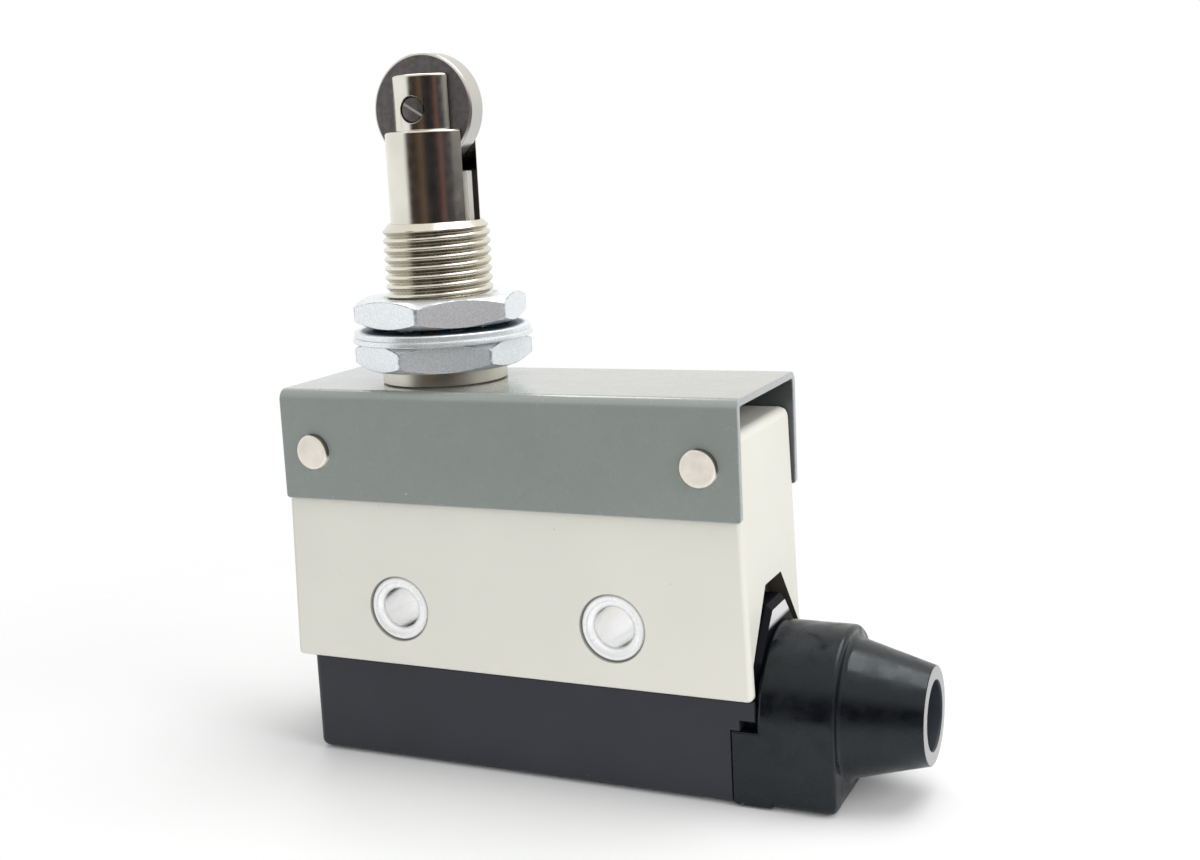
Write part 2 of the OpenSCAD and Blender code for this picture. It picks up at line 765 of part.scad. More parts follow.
// Turned plunger with a fork for the roller, two key grooves and a hole for the overtravel spring
module plunger() {
    r = plunger_d / 2;
    ear_r = ear_d / 2;
    color([0.72, 0.68, 0.63])
        difference() {
            rotate_extrude()
                polygon([
                    [0, flange_z0], [plunger_flange_d / 2, flange_z0], [plunger_flange_d / 2, flange_z1],
                    [r, flange_z1], [r, shoulder_z - plunger_bevel], [r - plunger_bevel, shoulder_z],
                    [ear_r, shoulder_z], [ear_r, ear_z1 - plunger_bevel], [ear_r - plunger_bevel, ear_z1],
                    [0, ear_z1]
                ]);
            block([-plunger_d, plunger_d], [-slot_w / 2, slot_w / 2], [slot_z0, ear_z1 + over]);
            for (s = [0, 1])
                mirror([s, 0, 0])
                    block([groove_floor, r + over], [-slot_w / 2, slot_w / 2], [key_z0 - loose_fit, slot_z0 + over]);
            translate([0, 0, pin_z])
                rotate([90, 0, 0])
                    cylinder(d = pin_d, h = plunger_d, center = true);
            translate([0, 0, flange_z0 - over])
                cylinder(d = plunger_bore_d, h = plunger_bore_depth + over);
        }
}

module roller_pin() {
    length = ear_d - 2 * pin_sunk;
    color([0.56, 0.54, 0.52])
        translate([0, length / 2, pin_z])
            rotate([90, 0, 0])
                cylinder(d = pin_d, h = length);
}

// Flat steel roller with bevelled edges
module roller() {
    r = roller_d / 2;
    half = roller_w / 2;
    color([0.62, 0.60, 0.57])
        turned_along_y([0, pin_z])
            polygon([
                [pin_d / 2 + running_fit, -half], [r - roller_bevel, -half], [r, roller_bevel - half],
                [r, half - roller_bevel], [r - roller_bevel, half], [pin_d / 2 + running_fit, half]
            ]);
}

module return_spring() {
    color([0.70, 0.70, 0.70])
        coil_spring(return_d, return_wire, return_turns, [well_z0 + touch_gap, flange_z0 - touch_gap]);
}

module overtravel_spring() {
    color([0.70, 0.70, 0.70])
        coil_spring(
            over_d, over_wire, over_turns,
            [button_head_z1() + touch_gap, flange_z0 + plunger_bore_depth - touch_gap]
        );
}

module seal_ring() {
    seal_bore = stake_d + 2 * loose_fit;
    color([0.10, 0.10, 0.11])
        tube(seal_bore + 2 * seal_w, seal_bore, [case_z1, bracket_z0]);
}

function button_head_z1() = well_z0 + button_travel + loose_fit + button_head_t;

// Moulded button: a round-ended pin with a head that the overtravel spring sits on
module button() {
    r = button_d / 2;
    tip_z = blade_z1 + touch_gap;
    head_z0 = button_head_z1() - button_head_t;
    color([0.75, 0.20, 0.16]) {
        translate([0, 0, tip_z + r])
            sphere(r);
        translate([0, 0, tip_z + r])
            cylinder(r = r, h = head_z0 - tip_z - r);
        translate([0, 0, head_z0])
            cylinder(d = button_head_d, h = button_head_t);
    }
}

// Spring blade with a window and a tongue, and two eyes round the hinge rod
module moving_blade() {
    end_x = contact_x + contact_d / 2;
    eye_r = hinge_d / 2 + running_fit;
    eye_y = riser_w / 2 + key_fit;
    window_y = blade_w / 3;
    slit = blade_w / 12;
    window_x0 = button_d;
    window_x1 = contact_x - contact_d;
    color([0.80, 0.62, 0.34])
        difference() {
            union() {
                translate([0, 0, blade_z0])
                    linear_extrude(blade_t)
                        difference() {
                            round_panel([hinge_x, end_x], [-blade_w / 2, blade_w / 2], blade_w / 8);
                            panel([window_x0, window_x1], [-window_y, slit - window_y]);
                            panel([window_x0, window_x1], [window_y - slit, window_y]);
                            panel([window_x1 - slit, window_x1], [-window_y, window_y]);
                            translate([contact_x, 0])
                                circle(contact_d / 4);
                        }
                along_y([-blade_w / 2, blade_w / 2])
                    translate([hinge_x, hinge_z])
                        circle(eye_r + blade_t);
            }
            along_y([-blade_w, blade_w])
                translate([hinge_x, hinge_z])
                    circle(eye_r);
            block([hinge_x - blade_w, hinge_x + eye_r + blade_t], [-eye_y, eye_y], [case_z0, case_z1]);
        }
}

// Double-headed contact, riveted through the blade
module moving_contact() {
    color([0.85, 0.85, 0.86])
        translate([contact_x, 0, 0]) {
            translate([0, 0, blade_z0 - contact_t])
                cylinder(d = contact_d, h = contact_t);
            translate([0, 0, blade_z0])
                cylinder(d = contact_d / 2, h = blade_t);
            translate([0, 0, blade_z1])
                cylinder(d = contact_d, h = contact_t);
        }
}

function nc_contact_z0() = blade_z1 + contact_t + touch_gap;

function no_contact_z1() = blade_z0 - contact_t - contact_gap;

module fixed_contact(z) {
    color([0.85, 0.85, 0.86])
        translate([contact_x, 0, z])
            cylinder(d = contact_d, h = contact_t);
}

module nc_contact() {
    fixed_contact(nc_contact_z0());
}

module no_contact() {
    fixed_contact(no_contact_z1() - contact_t);
}

// Screw pad of a terminal, under the base
module terminal_pad(x, y) {
    difference() {
        block([x - pad_l / 2, x + pad_l / 2], y, [pad_z0, base_z0]);
        translate([x, 0, pad_z0 - over])
            cylinder(d = screw_d + 2 * fixed_fit, h = strip_t + 2 * over);
    }
}

// Place of a riser: beside the pad's end along the case, or behind the screw
function com_riser() = [
    [terminal_xs[0] - pad_l / 2, terminal_xs[0] - pad_l / 2 + strip_t], [-riser_w / 2, riser_w / 2]
];
function nc_riser() = [
    [terminal_xs[1] - riser_w / 3, terminal_xs[1] + riser_w / 3], [pad_w * 0.8 - strip_t, pad_w * 0.8]
];
function no_riser() = [
    [terminal_xs[2] + pad_l / 2 - strip_t, terminal_xs[2] + pad_l / 2], [-riser_w / 2, riser_w / 2]
];
function com_arm_z1() = blade_z0 - 4 * touch_gap;
function nc_arm_z0() = nc_contact_z0() + contact_t;
function no_arm_z1() = no_contact_z1() - contact_t;

// Common terminal: pad, riser, an arm under the blade's end and an upright with the hinge rod
module com_terminal() {
    riser = com_riser();
    arm_z1 = com_arm_z1();
    color([0.80, 0.66, 0.38]) {
        terminal_pad(terminal_xs[0], [-pad_w / 2, pad_w / 2]);
        block(riser[0], riser[1], [pad_z0, arm_z1]);
        block([riser[0][0], hinge_x + strip_t / 2], riser[1], [arm_z1 - strip_t, arm_z1]);
        block([hinge_x - strip_t / 2, hinge_x + strip_t / 2], riser[1], [arm_z1 - strip_t, hinge_z]);
        along_y([-blade_w / 2, blade_w / 2])
            translate([hinge_x, hinge_z])
                circle(d = hinge_d);
    }
}

// Normally closed terminal: its arm passes beside the blade and over the moving contact
module nc_terminal() {
    riser = nc_riser();
    arm_z0 = nc_arm_z0();
    arm_z = [arm_z0, arm_z0 + strip_t];
    arm_x1 = contact_x + contact_d / 2;
    color([0.80, 0.66, 0.38]) {
        terminal_pad(terminal_xs[1], [-pad_w / 2, riser[1][1]]);
        block(riser[0], riser[1], [pad_z0, arm_z[1]]);
        block([riser[0][0], arm_x1], [riser[1][1] - 2 * strip_t, riser[1][1]], arm_z);
        block([contact_x - contact_d / 2, arm_x1], [-contact_d / 2, riser[1][1]], arm_z);
    }
}

// Normally open terminal: its arm lies on the base, under the moving contact
module no_terminal() {
    riser = no_riser();
    arm_z1 = no_arm_z1();
    color([0.80, 0.66, 0.38]) {
        terminal_pad(terminal_xs[2], [-pad_w / 2, pad_w / 2]);
        block(riser[0], riser[1], [pad_z0, arm_z1]);
        block([contact_x - contact_d / 2, riser[0][1]], riser[1], [arm_z1 - strip_t, arm_z1]);
    }
}

// Insulating base: a plate on the case's ledge, with three posts for the terminals
module switch_base() {
    fit_y = chamber_y - loose_fit;
    post_gap = 2 * loose_fit;
    left_x = [chamber_x0 + loose_fit, hole_xs[0] - boss_r - post_gap];
    nc_x = [hole_xs[0] + boss_r + post_gap, screw_x - bridge_t / 2 - loose_fit];
    no_x = [screw_x + bridge_t / 2 + loose_fit, hole_xs[1] - boss_r - post_gap];
    no_top = no_arm_z1() - strip_t;
    color([0.30, 0.24, 0.20])
        difference() {
            union() {
                block(
                    [chamber_x0 + loose_fit, boot_flange_x0 - 5 * loose_fit],
                    [loose_fit - seat_y, seat_y - loose_fit],
                    [base_z0, seat_z]
                );
                block(left_x, [-fit_y, fit_y], [base_z0, com_arm_z1() - strip_t]);
                block(nc_x, [-fit_y, fit_y], [base_z0, no_top]);
                block(no_x, [-fit_y, fit_y], [base_z0, no_top]);
            }
            for (x = terminal_xs)
                translate([x, 0, base_z0 - over])
                    cylinder(d = screw_d, h = screw_grip + over);
            for (riser = [com_riser(), nc_riser(), no_riser()])
                block(
                    riser[0] + [-fixed_fit, fixed_fit], riser[1] + [-fixed_fit, fixed_fit],
                    [base_z0 - over, case_z1]
                );
            translate([screw_x, 0, base_z0 - over])
                cylinder(d = cover_screw_d + 4 * loose_fit, h = base_t + 2 * over);
        }
}

// Pan-head screws that clamp the wires, heads down
module terminal_screws() {
    color([0.78, 0.80, 0.80])
        for (x = terminal_xs)
            translate([x, 0, clamp_z0 - screw_head_h]) {
                cylinder(d = screw_head_d, h = screw_head_h);
                cylinder(d = screw_d, h = screw_head_h + clamp_t + strip_t + screw_grip);
            }
}

// Square washers between the screw heads and the pads
module clamp_washers() {
    color([0.82, 0.76, 0.58])
        for (x = terminal_xs)
            difference() {
                block([x - clamp_side / 2, x + clamp_side / 2], [-clamp_side / 2, clamp_side / 2], [clamp_z0, pad_z0]);
                translate([x, 0, clamp_z0 - over])
                    cylinder(d = screw_d + 2 * fixed_fit, h = clamp_t + 2 * over);
            }
}

// Outline of the cover, seen from above
module cover_outline() {
    difference() {
        panel([cover_x0, case_x1], [-cover_y, cover_y]);
        for (t = [-1, 1])
            corner_cut([cover_x0, t * cover_y], [-1, t], cover_edge_r);
    }
}

// Room inside the cover, seen from above
module cover_inside(x1) {
    panel([cover_x0 + cover_wall, x1], [-cover_in_y, cover_in_y]);
}

// Moulded terminal cover with a post for its screw and an end that takes the boot
module cover() {
    floor_boss_d = cover_head_d + 2 * loose_fit + 2 * cover_wall;
    head_z1 = cover_head_sunk + cover_head_h;
    boss_z1 = head_z1 + cover_floor;
    color([0.16, 0.17, 0.19])
        difference() {
            union() {
                difference() {
                    linear_extrude(cover_h)
                        cover_outline();
                    translate([0, 0, cover_floor])
                        linear_extrude(cover_h)
                            cover_inside(cover_end_x0);
                    block(
                        [cover_end_x0 - over, case_x1 + over], [-cover_in_y, cover_in_y],
                        [lip_h + loose_fit, cover_h + over]
                    );
                    block(
                        [cover_end_x0 - over, cover_end_x1 + over],
                        [-throat_y - loose_fit, throat_y + loose_fit], [cover_floor, cover_h]
                    );
                    for (t = [-1, 1])
                        along_x([cover_x0 - over, case_x1 + over])
                            corner_cut([t * cover_y, 0], [t, -1], cover_edge_r);
                    along_y([-cover_y - over, cover_y + over])
                        corner_cut([cover_x0, 0], [-1, -1], cover_edge_r);
                }
                translate([screw_x, 0, 0]) {
                    cylinder(d = floor_boss_d, h = boss_z1);
                    cylinder(d = post_d, h = base_z0 - touch_gap);
                }
            }
            block([cover_end_x1, case_x1 + over], [-case_w, case_w], [-over, lip_h + loose_fit]);
            block([case_x1 - notch_depth, case_x1 + over], [-case_w, case_w], [-over, notch_h]);
            translate([screw_x, 0, -over]) {
                cylinder(d = cover_head_d + 2 * loose_fit, h = head_z1 + over);
                cylinder(d = cover_screw_d + 2 * loose_fit, h = base_z0 + 2 * over);
            }
        }
}

// Gasket on the cover's rim, open at the boot's end
module cover_gasket() {
    color([0.12, 0.12, 0.13])
        translate([0, 0, cover_h])
            linear_extrude(gasket_t)
                difference() {
                    cover_outline();
                    cover_inside(case_x1 + over);
                }
}

// Screw that draws the cover and the base up to the bridge of the case
module cover_screw() {
    color([0.78, 0.80, 0.80])
        translate([screw_x, 0, cover_head_sunk]) {
            cylinder(d = cover_head_d, h = cover_head_h);
            cylinder(d = cover_screw_d, h = seat_z + bridge_h - cover_head_sunk - 2 * over);
        }
}

// Rubber boot: flange and neck in the cover's end, plug in the case's opening, arched block and cone
module cable_boot() {
    throat_z1 = cable_h + cable_d / 2 + throat_wall;
    color([0.09, 0.09, 0.10])
        difference() {
            union() {
                translate([block_x1 - loose_fit, 0, cable_h])
                    rotate([0, 90, 0])
                        cylinder(d1 = cone_root_d, d2 = cone_end_d, h = cone_len + loose_fit);
                along_x([block_x0, block_x1]) {
                    translate([0, cable_h])
                        circle(boot_y);
                    panel([-boot_y, boot_y], [0, cable_h]);
                }
                block([lip_x0, block_x0 + loose_fit], [-boot_y, boot_y], [0, lip_h]);
                along_x([chamber_x1 + loose_fit, block_x0 + loose_fit])
                    gable(
                        plug_y, plug_top_w / 2,
                        [lip_h - over, case_z0 + opening_shoulder - 2 * loose_fit, case_z0 + plug_h]
                    );
                block(
                    [boot_flange_x0, chamber_x1 + 2 * loose_fit], [-throat_y, throat_y],
                    [cover_floor + loose_fit, throat_z1]
                );
                block(
                    [boot_flange_x0, boot_flange_x1], [-plug_y, plug_y],
                    [cover_floor + loose_fit, cover_h - loose_fit]
                );
            }
            translate([boot_flange_x0 - over, 0, cable_h])
                rotate([0, 90, 0])
                    cylinder(d = cable_d, h = cone_x1 - boot_flange_x0 + 2 * over);
            block([block_x0 - over, block_x1 + over], [-case_w, case_w], [-case_w, 0]);
        }
}

bracket();
case();
eyelet_left();
eyelet_right();
rivet_left();
rivet_right();
bushing();
lower_nut();
flat_washer();
lock_washer();
upper_nut();
plunger();
roller_pin();
roller();
return_spring();
overtravel_spring();
seal_ring();
button();
moving_blade();
moving_contact();
nc_contact();
no_contact();
com_terminal();
nc_terminal();
no_terminal();
switch_base();
terminal_screws();
clamp_washers();
cover();
cover_gasket();
cover_screw();
cable_boot();
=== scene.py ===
import math

import bmesh
import bpy
from mathutils import Matrix, Vector


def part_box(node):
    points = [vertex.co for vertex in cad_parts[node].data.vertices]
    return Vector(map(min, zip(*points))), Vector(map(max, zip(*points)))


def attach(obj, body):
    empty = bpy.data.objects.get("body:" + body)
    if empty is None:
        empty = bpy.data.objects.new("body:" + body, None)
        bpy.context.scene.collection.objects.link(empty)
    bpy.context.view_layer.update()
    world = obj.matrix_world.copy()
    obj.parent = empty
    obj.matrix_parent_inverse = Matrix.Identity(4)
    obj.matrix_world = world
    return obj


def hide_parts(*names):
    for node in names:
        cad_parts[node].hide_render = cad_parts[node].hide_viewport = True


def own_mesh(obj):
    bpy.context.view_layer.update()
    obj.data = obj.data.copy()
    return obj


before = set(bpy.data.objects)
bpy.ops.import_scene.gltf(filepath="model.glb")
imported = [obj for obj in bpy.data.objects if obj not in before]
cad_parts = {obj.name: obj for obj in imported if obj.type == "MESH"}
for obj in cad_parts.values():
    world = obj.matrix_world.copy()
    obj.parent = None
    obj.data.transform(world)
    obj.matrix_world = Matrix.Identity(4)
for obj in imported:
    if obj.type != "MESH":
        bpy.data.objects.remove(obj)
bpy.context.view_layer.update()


# Case: one ivory moulding with drafted ends, open below for the switch and at the right for the boot.
# It carries the two lined mounting holes, the rivet holes and the well of the plunger's spring.
MM = 0.001


def span(node):
    """Lowest and highest corner of a CAD node, in millimetres."""
    low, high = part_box(node)
    return low / MM, high / MM


def centre(node):
    """Middle of a CAD node's box, in millimetres."""
    low, high = span(node)
    return (low + high) / 2


def piece_from(name, points, faces):
    """A closed mesh in millimetres, with its faces turned outwards."""
    shell = bmesh.new()
    corners = [shell.verts.new(point) for point in points]
    for face in faces:
        shell.faces.new([corners[i] for i in face])
    bmesh.ops.remove_doubles(shell, verts=shell.verts, dist=1e-4)
    bmesh.ops.dissolve_degenerate(shell, edges=shell.edges, dist=1e-5)
    bmesh.ops.recalc_face_normals(shell, faces=shell.faces)
    mesh = bpy.data.meshes.new(name)
    shell.to_mesh(mesh)
    shell.free()
    piece = bpy.data.objects.new(name, mesh)
    bpy.context.scene.collection.objects.link(piece)
    return piece


def freeze(piece):
    """Makes the result of the piece's modifiers its own mesh."""
    bpy.context.view_layer.update()
    graph = bpy.context.evaluated_depsgraph_get()
    rough = piece.data
    piece.data = bpy.data.meshes.new_from_object(piece.evaluated_get(graph))
    piece.modifiers.clear()
    bpy.data.meshes.remove(rough)


def soften(piece, width, angle):
    """Rounds each edge that is sharper than the angle."""
    edge = piece.modifiers.new("edge", "BEVEL")
    edge.width = width
    edge.segments = 2
    edge.limit_method = "ANGLE"
    edge.angle_limit = math.radians(angle)
    edge.use_clamp_overlap = False
    edge.loop_slide = False
    freeze(piece)


def join(piece, tool, how="UNION"):
    """Adds a second solid to the piece, or takes it away, and uses it up."""
    cut = piece.modifiers.new("cut", "BOOLEAN")
    cut.operation = how
    cut.solver = "EXACT"
    cut.object = tool
    freeze(piece)
    bpy.data.objects.remove(tool)


def cut_away(piece, *tools):
    """Takes solids away from the piece, one by one."""
    for tool in tools:
        join(piece, tool, "DIFFERENCE")


def moulding(name, corners, edge_round):
    """A block from eight corners (x, y, z bits in that order) whose edges are rounded one by one."""
    faces = [(0, 1, 3, 2), (4, 6, 7, 5), (0, 4, 5, 1), (2, 3, 7, 6), (0, 2, 6, 4), (1, 5, 7, 3)]
    piece = piece_from(name, corners, faces)
    shell = bmesh.new()
    shell.from_mesh(piece.data)
    weight = shell.edges.layers.float.new("bevel_weight_edge")
    rounds = [edge_round((edge.verts[0].co + edge.verts[1].co) / 2) for edge in shell.edges]
    widest = max(rounds)
    for edge, radius in zip(shell.edges, rounds):
        edge[weight] = radius / widest
    shell.to_mesh(piece.data)
    shell.free()
    bevel = piece.modifiers.new("rounds", "BEVEL")
    bevel.width = widest
    bevel.segments = 6
    bevel.limit_method = "WEIGHT"
    bevel.use_clamp_overlap = False
    freeze(piece)
    return piece


def drawn(name, outline, axis, limits):
    """A flat outline drawn out along one axis; it is given in the other two axes, in order."""
    count = len(outline)
    along = "XYZ".index(axis)
    points = []
    for level in limits:
        for pair in outline:
            point = list(pair)
            point.insert(along, level)
            points.append(point)
    walls = [(i, (i + 1) % count, count + (i + 1) % count, count + i) for i in range(count)]
    ends = [tuple(range(count)), tuple(range(count, 2 * count))]
    return piece_from(name, points, walls + ends)


def block(x, y, z):
    """A block from one pair of limits for each axis."""
    outline = [(x[0], y[0]), (x[1], y[0]), (x[1], y[1]), (x[0], y[1])]
    return drawn("block", outline, "Z", z)


def skinned(name, rings, ends):
    """A skin over rings of equally many points; its ends are joined, capped or left open."""
    count = len(rings[0])
    last = len(rings) if ends == "joined" else len(rings) - 1
    faces = []
    if ends == "capped":
        faces = [tuple(range(count)), tuple(range(count * last, count * (last + 1)))]
    for i in range(last):
        here = i * count
        there = (i + 1) % len(rings) * count
        for j in range(count):
            k = (j + 1) % count
            faces.append((here + j, here + k, there + k, there + j))
    return piece_from(name, [point for ring in rings for point in ring], faces)


def turned(name, profile, axis="Z", at=(0, 0, 0), steps=96):
    """A closed profile of (radius, height) points, turned about an axis through a point."""
    along = "XYZ".index(axis)
    rings = []
    for i in range(steps):
        turn = 2 * math.pi * i / steps
        ring = []
        for radius, height in profile:
            point = [radius * math.cos(turn), radius * math.sin(turn)]
            point.insert(along, height)
            ring.append(Vector(point) + Vector(at))
        rings.append(ring)
    return skinned(name, rings, "joined")


def rod(radius, axis, limits, at=(0, 0, 0)):
    """A round rod."""
    profile = [(0, limits[0]), (radius, limits[0]), (radius, limits[1]), (0, limits[1])]
    return turned("rod", profile, axis, at)


def both_ends(half):
    """A profile and its mirror image at the other end."""
    return half + [(radius, -height) for radius, height in reversed(half)]


def node(tree, kind, inputs, **settings):
    """A shader node whose inputs are values or other nodes' outputs."""
    made = tree.nodes.new("ShaderNode" + kind)
    for name, value in settings.items():
        setattr(made, name, value)
    for name, value in inputs.items():
        if isinstance(value, bpy.types.NodeSocket):
            tree.links.new(value, made.inputs[name])
        else:
            made.inputs[name].default_value = value
    return made


def parts_of(vector):
    """A vector's X, Y and Z outputs."""
    return node(vector.id_data, "SeparateXYZ", {"Vector": vector}).outputs


def spot_in(material):
    """The place on the part in metres, as one vector."""
    return node(material.node_tree, "TexCoord", {}).outputs["Object"]


def place_in(material):
    """The place on the part in millimetres, as X, Y and Z outputs."""
    scale = {0: spot_in(material), "Scale": 1 / MM}
    return parts_of(node(material.node_tree, "VectorMath", scale, operation="SCALE").outputs["Vector"])


def facing_in(material, which="True Normal"):
    """The direction the surface looks in, as X, Y and Z outputs."""
    return parts_of(node(material.node_tree, "NewGeometry", {}).outputs[which])


def clouds(place, size, detail=3.0):
    """Soft noise whose patches have the given size in millimetres."""
    inputs = {"Vector": place, "Scale": 1 / (size * MM), "Detail": detail}
    return node(place.id_data, "TexNoise", inputs).outputs["Fac"]


def between(factor, first, second):
    """A colour that runs from the first to the second with the factor."""
    first, second = (c if isinstance(c, bpy.types.NodeSocket) else (*c, 1) for c in (first, second))
    return node(factor.id_data, "Mix", {0: factor, 6: first, 7: second}, data_type="RGBA").outputs[2]


def ranged(value, source, target=(0, 1)):
    """A value moved from one range to another and held at its limits."""
    limits = {"From Min": source[0], "From Max": source[1], "To Min": target[0], "To Max": target[1]}
    return node(value.id_data, "MapRange", {"Value": value, **limits}).outputs["Result"]


def maths(operation, first, second=0):
    """One arithmetic step on two values, at least one of which is a node's output."""
    output = first if isinstance(first, bpy.types.NodeSocket) else second
    return node(output.id_data, "Math", {0: first, 1: second}, operation=operation).outputs[0]


def above(value, limit):
    return maths("GREATER_THAN", value, limit)


def below(value, limit):
    return maths("LESS_THAN", value, limit)


def absolute(value):
    return maths("ABSOLUTE", value)


def all_of(first, *others):
    """A mask where all of these masks hold."""
    for mask in others:
        first = maths("MULTIPLY", first, mask)
    return first


def reach_from(across, along, point=(0, 0)):
    """Distance in millimetres from a line that is seen as a point in two axes."""
    tree = across.id_data
    spot = node(tree, "CombineXYZ", {"X": across, "Y": along}).outputs["Vector"]
    return node(tree, "VectorMath", {0: spot, 1: (*point, 0)}, operation="DISTANCE").outputs["Value"]


def finish(name, colour, drift, gloss, grain, flecks=None, stretch=(1, 1, 1), **sockets):
    """A surface finish with sizes in millimetres: drift is (size, share) of slow shading, gloss the range
    of roughness, grain (size, depth) of the fine relief and flecks (size, share, colour) of the dust."""
    material = bpy.data.materials.new(name)
    material.use_nodes = True
    tree = material.node_tree
    shader = tree.nodes["Principled BSDF"]
    place = spot_in(material)
    streaked = node(tree, "Mapping", {"Vector": place, "Scale": stretch}).outputs["Vector"]
    dark = [c * (1 - drift[1]) for c in colour]
    light = [min(1, c * (1 + drift[1])) for c in colour]
    noise_range = (0.3, 0.7)
    shade = ranged(clouds(streaked, drift[0]), noise_range)
    skin = between(shade, dark, light)
    wear = clouds(streaked, drift[0] / 4, 5.0)
    roughness = ranged(wear, noise_range, gloss)
    if flecks:
        size, share, dust = flecks
        stray = node(tree, "TexNoise", {"Vector": place, "Scale": 4 / (size * MM)}).outputs["Color"]
        reach = 0.35 * size * MM
        moved = {0: stray, 1: (reach, reach, reach), 2: place}
        bent = node(tree, "VectorMath", moved, operation="MULTIPLY_ADD").outputs["Vector"]
        cells = node(tree, "TexVoronoi", {"Vector": bent, "Scale": 1 / (size * MM)})
        near = below(cells.outputs["Distance"], 0.07)
        pick = node(tree, "SeparateColor", {"Color": cells.outputs["Color"]}).outputs["Red"]
        skin = between(all_of(near, below(pick, share)), skin, dust)
    relief = node(tree, "Bump", {"Height": clouds(streaked, grain[0]), "Distance": grain[1] * MM})
    tree.links.new(skin, shader.inputs["Base Color"])
    tree.links.new(roughness, shader.inputs["Roughness"])
    tree.links.new(relief.outputs["Normal"], shader.inputs["Normal"])
    for socket, value in sockets.items():
        shader.inputs[socket.replace("_", " ")].default_value = value
    return material


def overlay(material, mask, **sockets):
    """Lays other values over a finish where the mask is 1."""
    tree = material.node_tree
    shader = tree.nodes["Principled BSDF"]
    for name, value in sockets.items():
        socket = shader.inputs[name.replace("_", " ")]
        under = socket.links[0].from_socket if socket.is_linked else socket.default_value
        if name == "Base_Color":
            tree.links.new(between(mask, under, value), socket)
        else:
            tree.links.new(node(tree, "Mix", {0: mask, 2: under, 3: value}).outputs[0], socket)


def settle(piece, body, slot, material, *nodes, crease=32):
    """Brings a finished mesh to metres, shades it, gives it its material, attaches it to its body and hides
    the CAD nodes it stands in for.
    """
    piece.data.transform(Matrix.Scale(MM, 4))
    piece.data.shade_smooth()
    piece.data.set_sharp_from_angle(angle=math.radians(crease))
    shading = piece.modifiers.new("shading", "WEIGHTED_NORMAL")
    shading.keep_sharp = True
    freeze(piece)
    piece.data.materials.clear()
    piece.data.materials.append(material)
    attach(piece, body)
    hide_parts(*nodes)


case_low, case_high = span("case")
end_draft = math.radians(1.7)
end_lean = (case_high.z - case_low.z) * math.tan(end_draft)
upright_round = 0.6
foot_round = 0.6
top_round = 0.75
end_top_round = 1.0
lip_round = 0.2
end_wall = 2.3
chamber_x = (case_low.x + end_wall, case_high.x - end_wall)
chamber_y = case_high.y - 2.4
seat_y = chamber_y + 0.4
tie_y = chamber_y + 0.3
seat_z = case_low.z + 2.0
ceiling_z = case_high.z - 9.0
well_z = case_high.z - 7.0
well_radius = 6.6
button_hole = 1.55
opening_side = case_high.y - 0.8
opening_top = 2.6
opening_shoulder_z = case_low.z + 3.6
opening_z = case_low.z + 10.5
mount_holes = [centre(name).x for name in ("eyelet_left", "eyelet_right")]
mount_hole_z = case_low.z + 6.4
eyelet_hole = 2.65
eyelet_seat = 3.6
flange_seat = case_high.y - 0.5
boss_radius = 4.25
rivet_places = [centre(name).x for name in ("rivet_left", "rivet_right")]
rivet_z = centre("rivet_left").z
rivet_hole = 1.5
screw_x = sum(mount_holes) / 2
bridge_half = 1.6
bridge_z = seat_z + 6.8
screw_hole = 1.45
past = 1.0

case_corners = [
    (x + lean * k, y, z)
    for x, lean in ((case_low.x, end_lean), (case_high.x, -end_lean))
    for y in (case_low.y, case_high.y)
    for k, z in enumerate((case_low.z, case_high.z))
]


def case_edge(place):
    """Radius of a case edge, told from the place of its middle."""
    at_end = abs(place.x - screw_x) > (case_high.x - case_low.x) / 3
    if at_end and abs(place.y) > case_high.y / 2:
        return upright_round
    at_top = place.z > centre("case").z
    if at_end:
        return end_top_round if at_top else foot_round
    return top_round if at_top else lip_round


case = moulding("ivory_case", case_corners, case_edge)
opening = [
    (-opening_side, case_low.z - past), (opening_side, case_low.z - past),
    (opening_side, opening_shoulder_z), (opening_top, opening_z),
    (-opening_top, opening_z), (-opening_side, opening_shoulder_z),
]
cut_away(
    case,
    block(chamber_x, (-chamber_y, chamber_y), (case_low.z - past, ceiling_z)),
    block(chamber_x, (-seat_y, seat_y), (case_low.z - past, seat_z)),
    rod(well_radius, "Z", (well_z, case_high.z + past)),
    rod(button_hole, "Z", (ceiling_z - past, well_z + past)),
    drawn("opening", opening, "X", (chamber_x[1] - 0.1, case_high.x + past)),
)
for x in mount_holes:
    join(case, rod(boss_radius, "Y", (-tie_y, tie_y), (x, 0, mount_hole_z)))
bridge_x = (screw_x - bridge_half, screw_x + bridge_half)
join(case, block(bridge_x, (-tie_y, tie_y), (seat_z + 0.1, bridge_z)))
through_y = case_high.y + past
hole_half = [(eyelet_hole, flange_seat), (eyelet_seat, flange_seat), (eyelet_seat, through_y)]
hole_profile = both_ends(hole_half + [(0, through_y)])
for x in mount_holes:
    cut_away(case, turned("mount_hole", hole_profile, "Y", (x, 0, mount_hole_z)))
for x in rivet_places:
    cut_away(case, rod(rivet_hole, "Y", (-through_y, through_y), (x, 0, rivet_z)))
cut_away(case, rod(screw_hole, "Z", (seat_z - past, bridge_z - past), (screw_x, 0, 0)))
ivory = finish(
    "ivory_plastic", (0.72, 0.71, 0.645), drift=(14, 0.02), gloss=(0.4, 0.52), grain=(0.22, 0.0025),
    flecks=(1.4, 0.03, (0.60, 0.58, 0.52)),
)
x, y, z = place_in(ivory)
# A dark ring round each eyelet's counterbore: partly dirt in the joint, partly painted shade of the gap.
for hole_x in mount_holes:
    from_hole = reach_from(x, z, (hole_x, mount_hole_z))
    joint_dirt_and_shade = ranged(from_hole, (eyelet_seat + 0.04, eyelet_seat + 0.13), (0.75, 0))
    overlay(ivory, joint_dirt_and_shade, Base_Color=(0.16, 0.155, 0.14))
